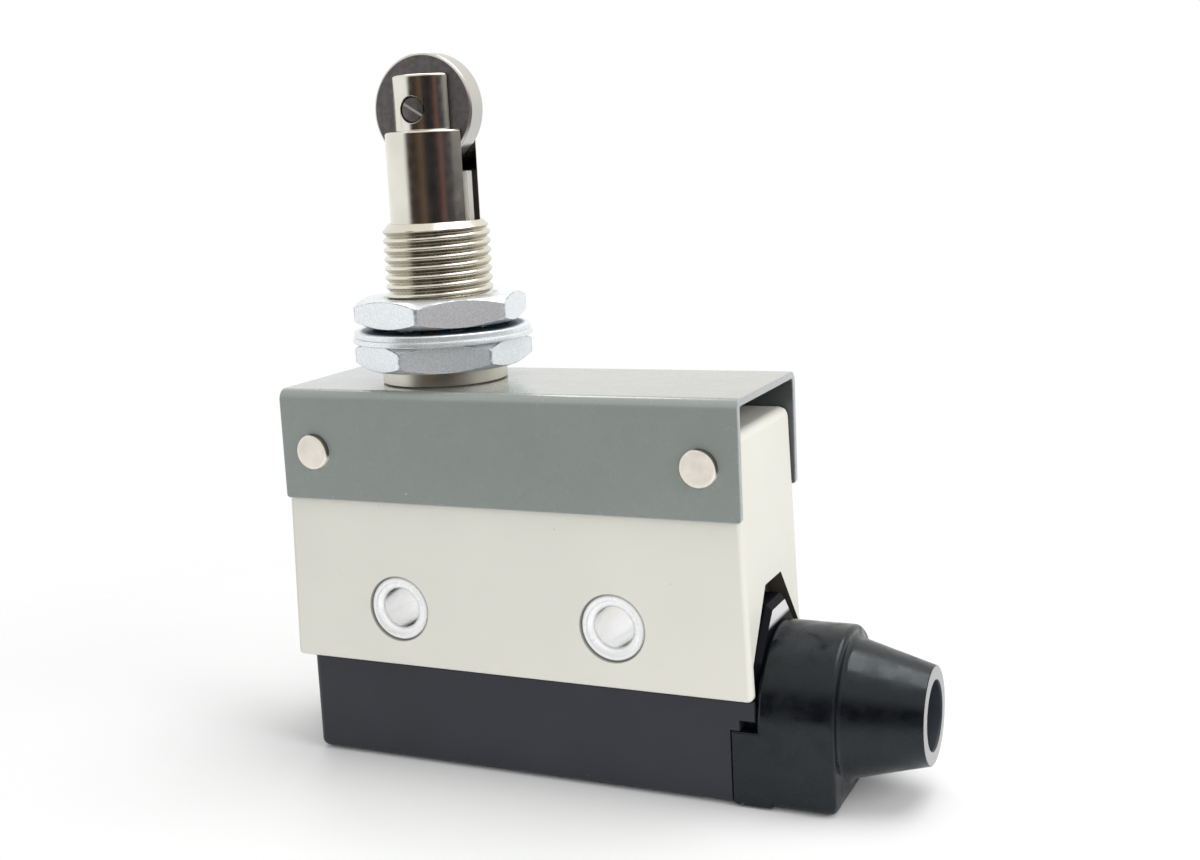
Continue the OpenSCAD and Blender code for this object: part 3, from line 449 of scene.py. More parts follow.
# The case's inner walls round the boot's opening are painted near black: painted shade inside the opening.
shaded_opening_wall = all_of(
    above(x, chamber_x[1]), below(absolute(y), opening_side + 0.05),
    below(z, opening_z + 0.05), below(absolute(facing_in(ivory)["X"]), 0.5),
)
overlay(ivory, shaded_opening_wall, Base_Color=(0.09, 0.08, 0.06))
settle(case, "housing", "ivory_plastic", ivory, "case")


# Eyelets: two thin bright metal tubes that line the mounting holes.
# Each is set from the front, and its second end is rolled over in the case's counterbore.
def quarter(steps):
    """A quarter round from one side to the next: how far each point stays back from the two sides."""
    turns = [math.pi / 2 * k / steps for k in range(steps + 1)]
    return [(1 - math.cos(turn), 1 - math.sin(turn)) for turn in turns]


bright = finish(
    "bright_metal", (0.90, 0.91, 0.91), drift=(3, 0.03), gloss=(0.2, 0.3), grain=(0.3, 0.001),
    Metallic=0.15,
)
in_tube = ranged(absolute(place_in(bright)["Y"]), (flange_seat - 0.4, flange_seat), (1, 0))
overlay(bright, in_tube, Base_Color=(0.97, 0.975, 0.975), Roughness=0.22, Metallic=1.0)
eyelet_bore = 2.2
eyelet_tube = 2.6
eyelet_edge = 3.5
eyelet_roll = 0.62
flange_thick = 0.4
flange_steps = [(0, flange_thick), (0.02, 0.2), (0.14, 0.1), (0.42, 0.08), (0.5, 0.11), (0.58, 0.06)]
for name, x in zip(("eyelet_left", "eyelet_right"), mount_holes):
    end_y = span(name)[1].y
    half = [(eyelet_tube, end_y - flange_thick)]
    half += [(eyelet_edge - inward, end_y - down) for inward, down in flange_steps]
    half += [(eyelet_bore + eyelet_roll * out, end_y - eyelet_roll * down) for down, out in quarter(8)]
    eyelet = turned(name + "_lining", both_ends(half), "Y", (x, 0, mount_hole_z))
    settle(eyelet, "housing", "bright_metal", bright, name)


# Switch mechanism: a brown phenolic base with stamped brass terminals, silver contacts, a copper alloy
# snap blade and a red moulded button. It is pushed into the case from below and is never seen from
# outside, so its solids are kept as they are and only get their finishes.
phenolic = finish(
    "brown_plastic", (0.07, 0.05, 0.035), drift=(3, 0.15), gloss=(0.4, 0.55), grain=(0.2, 0.004),
    flecks=(0.7, 0.2, (0.12, 0.085, 0.05)),
)
brass = finish(
    "terminal_brass", (0.62, 0.44, 0.17), drift=(4, 0.08), gloss=(0.22, 0.36), grain=(0.5, 0.0015),
    stretch=(1, 5, 1), Metallic=1.0,
)
copper = finish(
    "blade_copper", (0.60, 0.36, 0.14), drift=(3, 0.08), gloss=(0.2, 0.34), grain=(0.4, 0.001),
    stretch=(1, 6, 1), Metallic=1.0,
)
silver = finish(
    "contact_silver", (0.75, 0.74, 0.72), drift=(1.5, 0.06), gloss=(0.2, 0.36), grain=(0.15, 0.001),
    Metallic=1.0,
)
red_button = finish(
    "red_plastic", (0.50, 0.04, 0.03), drift=(2, 0.08), gloss=(0.22, 0.34), grain=(0.2, 0.001),
)
inner_finishes = {
    "switch_base": phenolic, "com_terminal": brass, "nc_terminal": brass, "no_terminal": brass,
    "clamp_washers": brass, "moving_blade": copper, "moving_contact": silver, "nc_contact": silver,
    "no_contact": silver, "button": red_button,
}
for name, material in inner_finishes.items():
    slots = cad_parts[name].data.materials
    slots.clear()
    slots.append(material)


# Terminal screws: three zinc-plated pan heads with a cross recess, turned up into the base from below.
# Each one clamps a wire under its square washer.
zinc = finish(
    "zinc", (0.86, 0.95, 1.0), drift=(0.2, 0.16), gloss=(0.28, 0.36), grain=(0.14, 0.005), Metallic=0.69,
)


def pan_screw(name, node_name, place_x, shank):
    """A screw that points up and fills a CAD node's height, with a domed head and a cross recess below."""
    low, high = span(node_name)
    edge = high.y
    length = high.z - low.z
    head = 1.8
    dome = 0.35 * head
    tip = 0.4
    profile = [(0, 0)] + [(edge - dome * inward, dome * up) for up, inward in quarter(6)]
    profile += [(edge, head), (shank, head), (shank, length - tip), (shank - tip, length), (0, length)]
    screw = turned(name, profile, "Z", (place_x, 0, low.z), 48)
    wing = 0.62 * edge
    arm = 0.14 * edge
    depth = 0.6 * head
    for x, y in ((wing, arm), (arm, wing)):
        cut_away(screw, block((place_x - x, place_x + x), (-y, y), (low.z - past, low.z + depth)))
    return screw


com_screw_x = -10.5
screw_offset = 5.35
terminal_shank = 1.5
terminal_screws = [
    pan_screw("terminal_screw_set", "terminal_screws", x, terminal_shank)
    for x in (com_screw_x, screw_x - screw_offset, screw_x + screw_offset)
]
for other in terminal_screws[1:]:
    join(terminal_screws[0], other)
settle(terminal_screws[0], "housing", "zinc", zinc, "terminal_screws")


# Cover gasket: a flat black rubber ring that lies in the cover's rim, open where the boot comes in.
# It is squeezed between the cover and the foot of the case.
def rounded(corners, steps=8):
    """An outline through (first, second, radius) corners, with an arc at each corner that has a radius."""
    outline = []
    for i, (first, second, radius) in enumerate(corners):
        here = Vector((first, second))
        if not radius:
            outline.append(here)
            continue
        back = (Vector(corners[i - 1][:2]) - here).normalized()
        ahead = (Vector(corners[(i + 1) % len(corners)][:2]) - here).normalized()
        half = back.angle(ahead) / 2
        middle = here + (back + ahead).normalized() * radius / math.sin(half)
        start = here + back * radius / math.tan(half) - middle
        end = here + ahead * radius / math.tan(half) - middle
        sweep = math.atan2(start.x * end.y - start.y * end.x, start.dot(end))
        for k in range(steps + 1):
            turn = sweep * k / steps
            outline.append(middle + Vector((
                start.x * math.cos(turn) - start.y * math.sin(turn),
                start.x * math.sin(turn) + start.y * math.cos(turn),
            )))
    return outline


rubber = finish(
    "black_rubber", (0.004, 0.005, 0.0075), drift=(7, 0.3), gloss=(0.12, 0.42), grain=(0.4, 0.0015),
    flecks=(1.9, 0.05, (0.09, 0.09, 0.09)), Specular_IOR_Level=0.42, Specular_Tint=(0.86, 0.96, 1, 1),
)
gasket_low, gasket_high = span("cover_gasket")
rim_wall = 1.5
rim_round = 0.4
rim_back = 0.5
rim_x = gasket_low.x + rim_back
rim_y = gasket_high.y - rim_back
rim_outline = rounded([
    (rim_x, -rim_y, rim_round), (gasket_high.x, -rim_y, 0), (gasket_high.x, rim_y, 0),
    (rim_x, rim_y, rim_round),
])
gasket = drawn("rubber_gasket", rim_outline, "Z", (gasket_low.z, gasket_high.z))
cut_away(gasket, block(
    (gasket_low.x + rim_wall, gasket_high.x + past), (gasket_low.y + rim_wall, gasket_high.y - rim_wall),
    (gasket_low.z - past, gasket_high.z + past),
))
soften(gasket, 0.12, angle=50)
settle(gasket, "housing", "black_rubber", rubber, "cover_gasket")


# Terminal cover: a black moulded tray that closes the case from below and holds the boot's flange.
# One screw through its middle post draws it up to the case.
cover_low, cover_high = span("cover")
cover_top = gasket_high.z - 0.03
cover_lip = 0.4
cover_round = 0.9
cover_plain = 0.12
cover_floor = 1.6
cover_end_x = (33.3, 34.8)
cover_inside_y = cover_high.y - rim_wall
lip_room_z = 7.9
throat_room_y = 6.0
notch_x = cover_high.x - 1.6
notch_z = 9.0
post_radius = 2.2
post_foot_z = cover_low.z + 0.3
floor_boss = 4.3
floor_boss_z = 3.8
head_room = 2.8
head_room_z = 2.2
cover_screw_room = 1.55


def corners_of(x, y, z):
    """The eight corners between one pair of limits for each axis."""
    return [(i, j, k) for i in x for j in y for k in z]


def cover_edge(place):
    """Radius of a cover edge: round below and at the left, plain at the rim and the boot's end."""
    at_right = place.x > cover_high.x - 1
    at_rim = place.z > cover_top - 1
    return cover_plain if at_right or at_rim else cover_round


all_corners = corners_of((cover_low.x, cover_high.x), (cover_low.y, cover_high.y), (cover_low.z, cover_top))
cover = moulding("terminal_cover", all_corners, cover_edge)
inside_y = (-cover_inside_y, cover_inside_y)
throat_y = (-throat_room_y, throat_room_y)
lip_y = (cover_low.y + cover_lip, cover_high.y - cover_lip)
all_y = (cover_low.y - past, cover_high.y + past)
right_end = cover_high.x + past
cut_away(
    cover,
    block((cover_low.x + cover_lip, right_end), lip_y, (gasket_low.z, cover_top + past)),
    block((cover_low.x + rim_wall, cover_end_x[0]), inside_y, (cover_floor, cover_top + past)),
    block((cover_end_x[0] - 0.5, right_end), inside_y, (lip_room_z, cover_top + past)),
    block((cover_end_x[0] - 0.5, cover_end_x[1] + 0.5), throat_y, (cover_floor, cover_top)),
    block((cover_end_x[1], right_end), all_y, (cover_low.z - past, lip_room_z)),
    block((notch_x, right_end), all_y, (cover_low.z - past, notch_z)),
)
join(cover, rod(floor_boss, "Z", (post_foot_z, floor_boss_z), (screw_x, 0, 0)))
join(cover, rod(post_radius, "Z", (post_foot_z, cover_high.z), (screw_x, 0, 0)))
cut_away(
    cover,
    rod(head_room, "Z", (cover_low.z - past, head_room_z), (screw_x, 0, 0)),
    rod(cover_screw_room, "Z", (cover_low.z - past, cover_high.z + past), (screw_x, 0, 0)),
)
charcoal = finish(
    "black_plastic", (0.024, 0.0265, 0.034), drift=(10, 0.12), gloss=(0.36, 0.5), grain=(0.25, 0.004),
    flecks=(1.9, 0.04, (0.15, 0.16, 0.17)), Specular_IOR_Level=0.35,
)
settle(cover, "housing", "black_plastic", charcoal, "cover")


# Cover screw: a zinc-plated pan head with a cross recess, sunk in the cover's floor.
# It is turned up through the cover's post into the bridge of the case.
cover_shank = 1.45
cover_screw = pan_screw("cover_fixing_screw", "cover_screw", screw_x, cover_shank)
settle(cover_screw, "housing", "zinc", zinc, "cover_screw")


# Cable boot: one piece of glossy black moulded rubber, an arched block with a cone for the cable.
# Its plug fills the case's opening, its lip hooks under the cover and its flange is held inside.
boot_low, boot_high = span("cable_boot")
cable_z = 8.5
hole_radius = 3.5
hole_mouth = 0.12
boot_half = boot_high.y
block_x = (case_high.x + 0.1, case_high.x + 8.0)
block_round = 0.55
block_foot_round = 1.0
cone_root = 7.0
cone_end = 5.05
root_fillet = 0.8
end_round = 0.22
lip_x = 34.9
lip_top = 7.8
lip_foot_round = 1.3
lip_plain = 0.2
plug_half = 6.7
plug_top = 2.4
plug_bevel = 0.6
plug_round = 0.4
plug_shoulder_z = opening_shoulder_z - 0.2
throat_half = 5.9
throat_top = 13.5
flange_x = (boot_low.x, boot_low.x + 1.2)
flange_z = (1.7, 10.3)
reflection_low_z = 17


def arch(x, inset):
    """Outline of the boot's block at one place along the cable, drawn in by an inset."""
    side = boot_half - inset
    foot_z = boot_low.z + inset
    foot = rounded([
        (side, cable_z, 0), (side, foot_z, block_foot_round), (-side, foot_z, block_foot_round),
        (-side, cable_z, 0),
    ])
    turns = [math.pi * k / 32 for k in range(1, 32)]
    crown = [Vector((-side * math.cos(turn), cable_z + side * math.sin(turn))) for turn in turns]
    return [Vector((x, point.x, point.y)) for point in foot + crown]


sections = [arch(block_x[0] + block_round * c, block_round * s) for c, s in quarter(5)]
sections += [arch(block_x[1] - block_round * s, block_round * c) for c, s in quarter(5)]
boot = skinned("rubber_boot", sections, "capped")
cone = [(0, block_x[1] - 2), (cone_root + root_fillet, block_x[1] - 2)]
cone += [(cone_root + root_fillet * s, block_x[1] + root_fillet * c) for c, s in quarter(6)]
cone += [(cone_end - end_round * c, boot_high.x - end_round * s) for c, s in quarter(5)]
cone.append((0, boot_high.x))
join(boot, turned("cone", cone, "X", (0, 0, cable_z)))


def lip_edge(place):
    """Radius of a lip edge: round at its lower left, plain elsewhere."""
    at_left = place.x < lip_x + 0.5
    at_foot = place.z < boot_low.z + 0.5
    return lip_foot_round if at_left and at_foot else lip_plain


lip_corners = corners_of((lip_x, block_x[0] + 1.5), (-boot_half, boot_half), (boot_low.z, lip_top))
join(boot, moulding("lip", lip_corners, lip_edge))


def plug_section(x, inset):
    """Outline of the plug at one place along the cable, drawn in by an inset."""
    half = plug_half - inset
    crown = plug_top - 0.5 * inset
    crown_z = boot_high.z - inset
    outline = rounded([
        (-half, lip_top - 0.5, 0), (half, lip_top - 0.5, 0), (half, plug_shoulder_z, plug_round),
        (crown, crown_z, plug_round), (-crown, crown_z, plug_round), (-half, plug_shoulder_z, plug_round),
    ])
    return [Vector((x, point.x, point.y)) for point in outline]


plug_x = (chamber_x[1] + 0.1, block_x[0] + 0.1)
plug_steps = ((plug_x[0], 0), (plug_x[1] - plug_bevel, 0), (plug_x[1], plug_bevel))
join(boot, skinned("plug", [plug_section(place_x, inset) for place_x, inset in plug_steps], "capped"))
throat_x = (flange_x[0], chamber_x[1] + 0.2)
join(boot, block(throat_x, (-throat_half, throat_half), (flange_z[0], throat_top)))
join(boot, block(flange_x, (-plug_half, plug_half), flange_z))
hole_profile = [
    (0, boot_low.x - past), (hole_radius, boot_low.x - past), (hole_radius, boot_high.x - 2 * hole_mouth),
    (hole_radius + 0.3 * hole_mouth, boot_high.x - 0.7 * hole_mouth),
    (hole_radius + hole_mouth, boot_high.x), (hole_radius + hole_mouth, boot_high.x + past),
    (0, boot_high.x + past),
]
cut_away(boot, turned("bore", hole_profile, "X", (0, 0, cable_z)))
x, y, z = place_in(rubber)
looks_right = above(facing_in(rubber)["X"], 0.8)
above_lip = ranged(z, (lip_top + 1, lip_top + 1.5))
# The plug's sides in front of the block are painted near black and dull: painted shade in the gap round the
# plug.
before_block = all_of(above_lip, ranged(x, (block_x[0] + 0.1, block_x[0] + 0.2), (1, 0)))
overlay(rubber, before_block, Base_Color=(0.002, 0.002, 0.004), Roughness=0.6, Specular_IOR_Level=0.15)
# The plug's end face above this height, where it looks to the right, is painted pale grey: a painted
# reflection of the bright surround.
painted_plug_reflection = all_of(before_block, ranged(z, (reflection_low_z, reflection_low_z + 0.5)), looks_right)
overlay(rubber, painted_plug_reflection, Base_Color=(0.75, 0.75, 0.76), Roughness=0.35)
from_cable = reach_from(y, z, (0, cable_z))
# The bore's wall is painted lighter than the rest of the rubber: painted light inside the bore.
painted_bore_light = ranged(from_cable, (hole_radius + 0.05, hole_radius + 0.1), (1, 0))
overlay(rubber, painted_bore_light, Base_Color=(0.03, 0.034, 0.042), Roughness=0.5)
# The cone's end face, where it looks to the right, is painted light grey: a painted sheen from the bright
# light on the right.
painted_end_sheen = all_of(ranged(x, (boot_high.x - 0.3, boot_high.x - 0.1)), looks_right)
overlay(rubber, painted_end_sheen, Base_Color=(0.34, 0.34, 0.335), Roughness=0.4)
settle(boot, "housing", "black_rubber", rubber, "cable_boot", crease=40)


# Seal ring: a black rubber ring between the case and the bracket, round the bushing's staked rim.
# It keeps oil and dust out of the plunger's well.
seal_low, seal_high = span("seal_ring")
seal_x = (seal_high.x - 0.8, seal_high.x)
seal_round = 0.25
seal_section = rounded([
    (seal_x[0], seal_low.z, seal_round), (seal_x[1], seal_low.z, seal_round),
    (seal_x[1], seal_high.z, seal_round), (seal_x[0], seal_high.z, seal_round),
], 4)
settle(turned("rubber_seal", seal_section), "housing", "black_rubber", rubber, "seal_ring")


# Springs: two coils of drawn steel wire with closed ends. The wide one lifts the plunger out of the well,
# and the slim one between button and plunger gives way when the plunger travels on.
wire_steel = finish(
    "spring_steel", (0.42, 0.42, 0.42), drift=(2, 0.1), gloss=(0.24, 0.38), grain=(0.2, 0.0015),
    Metallic=1.0,
)


def coil(name, node_name, wire, turns, steps=40, sides=12):
    """A wire wound up the plunger's axis with a closed turn at each end; also its foot and its length."""
    low, high = span(node_name)
    length = high.z - low.z
    radius = high.y - wire / 2
    closed = 1.08 * wire
    rise = (length - wire - 2 * closed) / (turns - 2)
    rings = []
    for i in range(int(turns * steps) + 1):
        wound = i / steps
        if wound < 1:
            climb = wound * closed
        elif wound > turns - 1:
            climb = length - wire - (turns - wound) * closed
        else:
            climb = closed + (wound - 1) * rise
        turn = 2 * math.pi * wound
        ring = []
        for k in range(sides):
            around = 2 * math.pi * k / sides
            reach = radius + wire / 2 * math.cos(around)
            height = low.z + wire / 2 + climb + wire / 2 * math.sin(around)
            ring.append((reach * math.cos(turn), reach * math.sin(turn), height))
        rings.append(ring)
    return skinned(name, rings, "capped"), low.z * MM, length * MM


return_spring, return_foot, return_length = coil("return_coil", "return_spring", wire=0.7, turns=4.5)
settle(return_spring, "housing", "spring_steel", wire_steel, "return_spring")
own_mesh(return_spring)
over_spring, over_foot, over_length = coil("overtravel_coil", "overtravel_spring", wire=0.4, turns=9)
settle(over_spring, "button", "spring_steel", wire_steel, "overtravel_spring")
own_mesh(over_spring)


# Bracket: a channel folded from steel sheet and painted a satin grey, set over the top of the case.
# The bushing is staked into its top, and two rivets hold its sides.
bracket_low, bracket_high = span("bracket")
sheet = 0.8
bend = 0.4
corner_round = 0.4
sheet_edge = 0.12
outer_y = bracket_high.y
inner_y = outer_y - sheet
under_z = bracket_high.z - sheet
foot_z = bracket_low.z - past
channel = rounded([
    (-outer_y, foot_z, 0), (-outer_y, bracket_high.z, bend + sheet),
    (outer_y, bracket_high.z, bend + sheet), (outer_y, foot_z, 0),
    (inner_y, foot_z, 0), (inner_y, under_z, bend), (-inner_y, under_z, bend), (-inner_y, foot_z, 0),
], 12)
bracket = drawn("grey_bracket", channel, "X", (bracket_low.x - past, bracket_high.x + past))
side_view = rounded([
    (bracket_low.x, bracket_low.z, corner_round), (bracket_high.x, bracket_low.z, corner_round),
    (bracket_high.x, bracket_high.z + past, 0), (bracket_low.x, bracket_high.z + past, 0),
])
wide_y = (-outer_y - past, outer_y + past)
join(bracket, drawn("side_view", side_view, "Y", wide_y), "INTERSECT")
bushing_hole = 5.975
cut_away(
    bracket,
    *[rod(rivet_hole, "Y", wide_y, (x, 0, rivet_z)) for x in rivet_places],
    rod(bushing_hole, "Z", (under_z - past, bracket_high.z + past)),
)
soften(bracket, sheet_edge, angle=45)
grey_paint = finish(
    "grey_paint", (0.25, 0.279, 0.261), drift=(9, 0.025), gloss=(0.22, 0.3), grain=(0.45, 0.0015),
    flecks=(2.3, 0.05, (0.5, 0.52, 0.51)), Coat_Weight=1.0, Coat_Roughness=0.16,
)
x, y, z = place_in(grey_paint)
# The inside of the channel, under its top and between its sides, is painted near black: painted shade.
within = ranged(absolute(y), (inner_y + 0.05, inner_y + 0.1), (1, 0))
under_top = ranged(z, (under_z + 0.05, under_z + 0.1), (1, 0))
overlay(grey_paint, all_of(within, under_top), Base_Color=(0.05, 0.055, 0.058), Roughness=0.5)
from_left = maths("SUBTRACT", x, bracket_low.x)
from_right = maths("SUBTRACT", bracket_high.x, x)
from_foot = maths("SUBTRACT", z, bracket_low.z)
from_edge = maths("MINIMUM", maths("MINIMUM", from_left, from_right), from_foot)
patchy = ranged(clouds(spot_in(grey_paint), 3), (0.35, 0.65), (0.4, 1))
# A patchy lighter band along the sheet's cut ends and foot: worn paint, and a painted sheen on the cut
# edges.
worn_and_sheen = all_of(ranged(from_edge, (0.06, 0.16), (1, 0)), patchy)
overlay(grey_paint, worn_and_sheen, Base_Color=(0.32, 0.35, 0.34))
settle(bracket, "housing", "grey_paint", grey_paint, "bracket")


# Rivets: two solid nickel-plated rivets through bracket and case, with low flat heads.
# Their faces are dulled by the tool that set them, and the upper right of their rims is painted dark: a
# painted reflection.
rivet_nickel = finish(
    "rivet_nickel", (0.91, 0.86, 0.77), drift=(1.6, 0.08), gloss=(0.3, 0.44), grain=(0.2, 0.003),
    Metallic=0.3,
)
looks = facing_in(rivet_nickel, "Normal")
# Rims that look up and to the right are painted dark: a painted reflection.
dark_rim_reflection = ranged(maths("ADD", looks["X"], looks["Z"]), (0.5, 0.85))
overlay(rivet_nickel, dark_rim_reflection, Base_Color=(0.07, 0.06, 0.05))
rivet_shank = 1.45
rivet_rim = 0.3
for name, x in zip(("rivet_left", "rivet_right"), rivet_places):
    low, high = span(name)
    head = (high.x - low.x) / 2
    half = [(rivet_shank, outer_y), (head, outer_y), (head, high.y - rivet_rim)]
    half += [(head - rivet_rim * c, high.y - rivet_rim * s) for c, s in quarter(6)[1:]]
    half += [(head - 2.2 * rivet_rim, high.y - 0.02), (0, high.y - 0.05)]
    rivet = turned(name + "_head", both_ends(half[::-1]), "Y", (x, 0, rivet_z))
    settle(rivet, "housing", "nickel", rivet_nickel, name)


# Bushing: turned and nickel plated, with a fine thread, a collar on the bracket and a rim staked below.
# Two keys in its bore stop the plunger from turning.
bushing_nickel = finish(
    "bushing_nickel", (0.78, 0.76, 0.67), drift=(4, 0.06), gloss=(0.2, 0.3), grain=(0.35, 0.0012),
    Metallic=1.0,
)
bushing_low, bushing_high = span("bushing")
pitch = 1.0
crest = 5.89
root = 5.5
thread_start = 0.35
thread_foot = span("lower_nut")[0].z
thread_top = bushing_high.z
top_bevel = 0.72
bore = 4.95
collar = 6.9
stake_radius = 6.7
bracket_hold = 5.925
columns = 96
rows_a_turn = 14


def thread_radius(height, turn):
    """Radius of the thread: rounded crests and roots, and a bevelled top."""
    phase = (height + thread_start) / pitch - turn / (2 * math.pi)
    share = (0.5 + 0.5 * math.cos(2 * math.pi * phase)) ** 0.75
    return min(root + (crest - root) * share, crest - max(0, height - thread_top + top_bevel))


def column(rows, turn):
    """The points of (radius, height) rows at one turn about the plunger's axis."""
    return [(radius * math.cos(turn), radius * math.sin(turn), height) for radius, height in rows]


foot = [
    (bore, bushing_low.z), (stake_radius - 0.2, bushing_low.z), (stake_radius, bushing_low.z + 0.2),
    (stake_radius, under_z), (bracket_hold, under_z), (bracket_hold, bracket_high.z),
    (collar - 0.15, bracket_high.z), (collar, bracket_high.z + 0.15), (collar, thread_foot - 0.2),
    (collar - 0.06, thread_foot - 0.06), (collar - 0.2, thread_foot),
]
first_turn = math.floor(thread_foot / pitch)
rings = []
for i in range(columns + 1):
    turn = 2 * math.pi * i / columns
    rows = list(foot)
    for n in range(-1, math.ceil((thread_top - thread_foot) / pitch) + 2):
        for k in range(rows_a_turn):
            height = (first_turn + n + k / rows_a_turn + i / columns) * pitch - thread_start
            height = min(thread_top, max(thread_foot, height))
            rows.append((thread_radius(height, turn), height))
    rows += [(bore + 0.2, thread_top), (bore, thread_top - 0.2)]
    rings.append(column(rows, turn))
bushing = skinned("threaded_bushing", rings, "open")
key_half = 1.45
key_reach = 3.55
key_z = (under_z + 0.1, under_z + 3.1)
for side in (-1, 1):
    reach = sorted((side * key_reach, side * (bore + 0.3)))
    join(bushing, block(reach, (-key_half, key_half), key_z))
# Faces that look down, mostly the thread's lower flanks, are painted darker: painted shade.
shaded_lower_flanks = ranged(facing_in(bushing_nickel, "Normal")["Z"], (-0.2, -0.5))
overlay(bushing_nickel, shaded_lower_flanks, Base_Color=(0.42, 0.38, 0.3))
on_collar = ranged(place_in(bushing_nickel)["Z"], (thread_foot - 0.1, thread_foot), (1, 0))
overlay(bushing_nickel, on_collar, Roughness=0.38)
settle(bushing, "housing", "nickel", bushing_nickel, "bushing", crease=28)


# Nuts: two thin hexagon nuts, bluish zinc plated, with bevelled corners and a dark patchy band where their
# flats meet the faces.
# The lower one sits on the collar, and a panel is clamped between the two.
flat_distance = 8.5
face_radius = 8.38
nut_slope = math.tan(math.radians(28))
nut_bore = 5.955
countersink = 0.35
corner_cut = 0.05


def hex_nut(name, low, high, turn):
    """A hexagon nut: each column of its mesh follows the flat side up to the two corner bevels."""
    steps = 180
    farthest = flat_distance / math.cos(math.pi / 6) - corner_cut
    rings = []
    for i in range(steps):
        angle = 2 * math.pi * i / steps
        off = angle % (math.pi / 3) - math.pi / 6
        side = min(flat_distance / math.cos(off), farthest)
        bevel = max(0, side - face_radius) * nut_slope
        rings.append(column([
            (nut_bore, low + countersink), (nut_bore + countersink, low), (face_radius, low),
            (side, low + bevel), (side, high - bevel), (face_radius, high),
            (nut_bore + countersink, high), (nut_bore, high - countersink),
        ], math.radians(turn) + angle))
    nut = skinned(name, rings, "joined")
    soften(nut, 0.06, angle=20)
    return nut


def leaning(first, second, angle):
    """How far a place lies along a direction that leans from the first axis to the second."""
    along_first = maths("MULTIPLY", first, math.cos(angle))
    along_second = maths("MULTIPLY", second, math.sin(angle))
    return maths("ADD", along_first, along_second)


def flat_reach(material, turn):
    """How far a place lies from the nut's axis, measured square to the nearest flat."""
    x, y, z = place_in(material)
    reach = 0
    for i in range(3):
        along = leaning(x, y, math.radians(turn + 30 + 60 * i))
        reach = maths("MAXIMUM", reach, absolute(along))
    return reach


for name, turn, clamp_side in (("lower_nut", 30, 1), ("upper_nut", 43, -1)):
    low, high = span(name)
    nut_zinc = zinc.copy()
    nut_zinc.name = name + "_zinc"
    # The face of each nut that looks towards the washers is painted dark teal: painted shade between the
    # parts.
    shaded_clamp_face = above(maths("MULTIPLY", facing_in(nut_zinc)["Z"], clamp_side), 0.95)
    overlay(nut_zinc, shaded_clamp_face, Base_Color=(0.22, 0.32, 0.37), Roughness=0.45)
    # A dark patchy band where the flats meet the nut's top and bottom faces.
    reach = flat_reach(nut_zinc, turn)
    on_bevel = ranged(reach, (flat_distance - 0.17, flat_distance - 0.14), (0, 0.7))
    off_flat = ranged(reach, (flat_distance - 0.03, flat_distance - 0.01), (1, 0))
    patchy = ranged(clouds(spot_in(nut_zinc), 0.7), (0.42, 0.58), (0.25, 1))
    dark_edge_band = all_of(on_bevel, off_flat, patchy)
    overlay(nut_zinc, dark_edge_band, Base_Color=(0.14, 0.18, 0.23), Roughness=0.5)
    settle(hex_nut(name + "_hex", low.z, high.z, turn), "housing", "zinc", nut_zinc, name, crease=18)


# Washers: a stamped flat washer on the lower nut and a toothed lock washer on top of it, both zinc plated.
# The lock washer's teeth point inwards and are twisted, and its inner part under the upper nut is painted
# dark: painted shade.
flat_low, flat_high = span("flat_washer")
washer_bore = 6.125
flat_section = [
    (washer_bore, flat_low.z + 0.1), (washer_bore + 0.1, flat_low.z), (flat_high.y - 0.06, flat_low.z),
    (flat_high.y, flat_low.z + 0.06), (flat_high.y, flat_high.z - 0.2),
    (flat_high.y - 0.06, flat_high.z - 0.06), (flat_high.y - 0.2, flat_high.z),
    (washer_bore + 0.05, flat_high.z), (washer_bore, flat_high.z - 0.05),
]
settle(turned("flat_washer_disc", flat_section), "housing", "zinc", zinc, "flat_washer")

lock_low, lock_high = span("lock_washer")
lock_thick = 0.6
lock_rim = 2.4
lock_edge = 0.06
lock_top_edge = 0.15
teeth = 12
tooth_half = 0.8
tooth_twist = math.radians(20)
tooth_steps = 5
rim_inside = lock_high.y - lock_rim
rim_top = lock_low.z + lock_thick
lock_section = rounded([
    (rim_inside, lock_low.z, lock_edge), (lock_high.y, lock_low.z, lock_edge),
    (lock_high.y, rim_top, lock_top_edge), (rim_inside, rim_top, lock_edge),
], 3)
lock_washer = turned("lock_washer_ring", lock_section, steps=144)
for i in range(teeth):
    turn = 2 * math.pi * i / teeth
    sections = []
    for k in range(tooth_steps + 1):
        share = k / tooth_steps
        reach = washer_bore + (rim_inside + 0.5 - washer_bore) * share
        twist = tooth_twist * min(1, 1.2 * (1 - share))
        lift = (lock_high.z - lock_low.z) / 2 * (1 - share) + lock_thick / 2 * share
        section = []
        for across, up in ((-1, -1), (1, -1), (1, 1), (-1, 1)):
            wide = across * tooth_half
            high = up * lock_thick / 2 * 0.98
            side = wide * math.cos(twist) - high * math.sin(twist)
            rise = wide * math.sin(twist) + high * math.cos(twist)
            section.append((
                reach * math.cos(turn) - side * math.sin(turn),
                reach * math.sin(turn) + side * math.cos(turn),
                lock_low.z + lift + rise,
            ))
        sections.append(section)
    join(lock_washer, skinned("tooth", sections, "capped"))
lock_zinc = zinc.copy()
lock_zinc.name = "lock_washer_zinc"
x, y, z = place_in(lock_zinc)
# The washer's inner part, under the upper nut, is painted dark teal: painted shade.
painted_shade_mask = ranged(reach_from(x, y), (lock_high.y - 0.9, lock_high.y - 0.5), (1, 0))
overlay(lock_zinc, painted_shade_mask, Base_Color=(0.12, 0.19, 0.25), Roughness=0.45)
settle(lock_washer, "housing", "zinc", lock_zinc, "lock_washer")


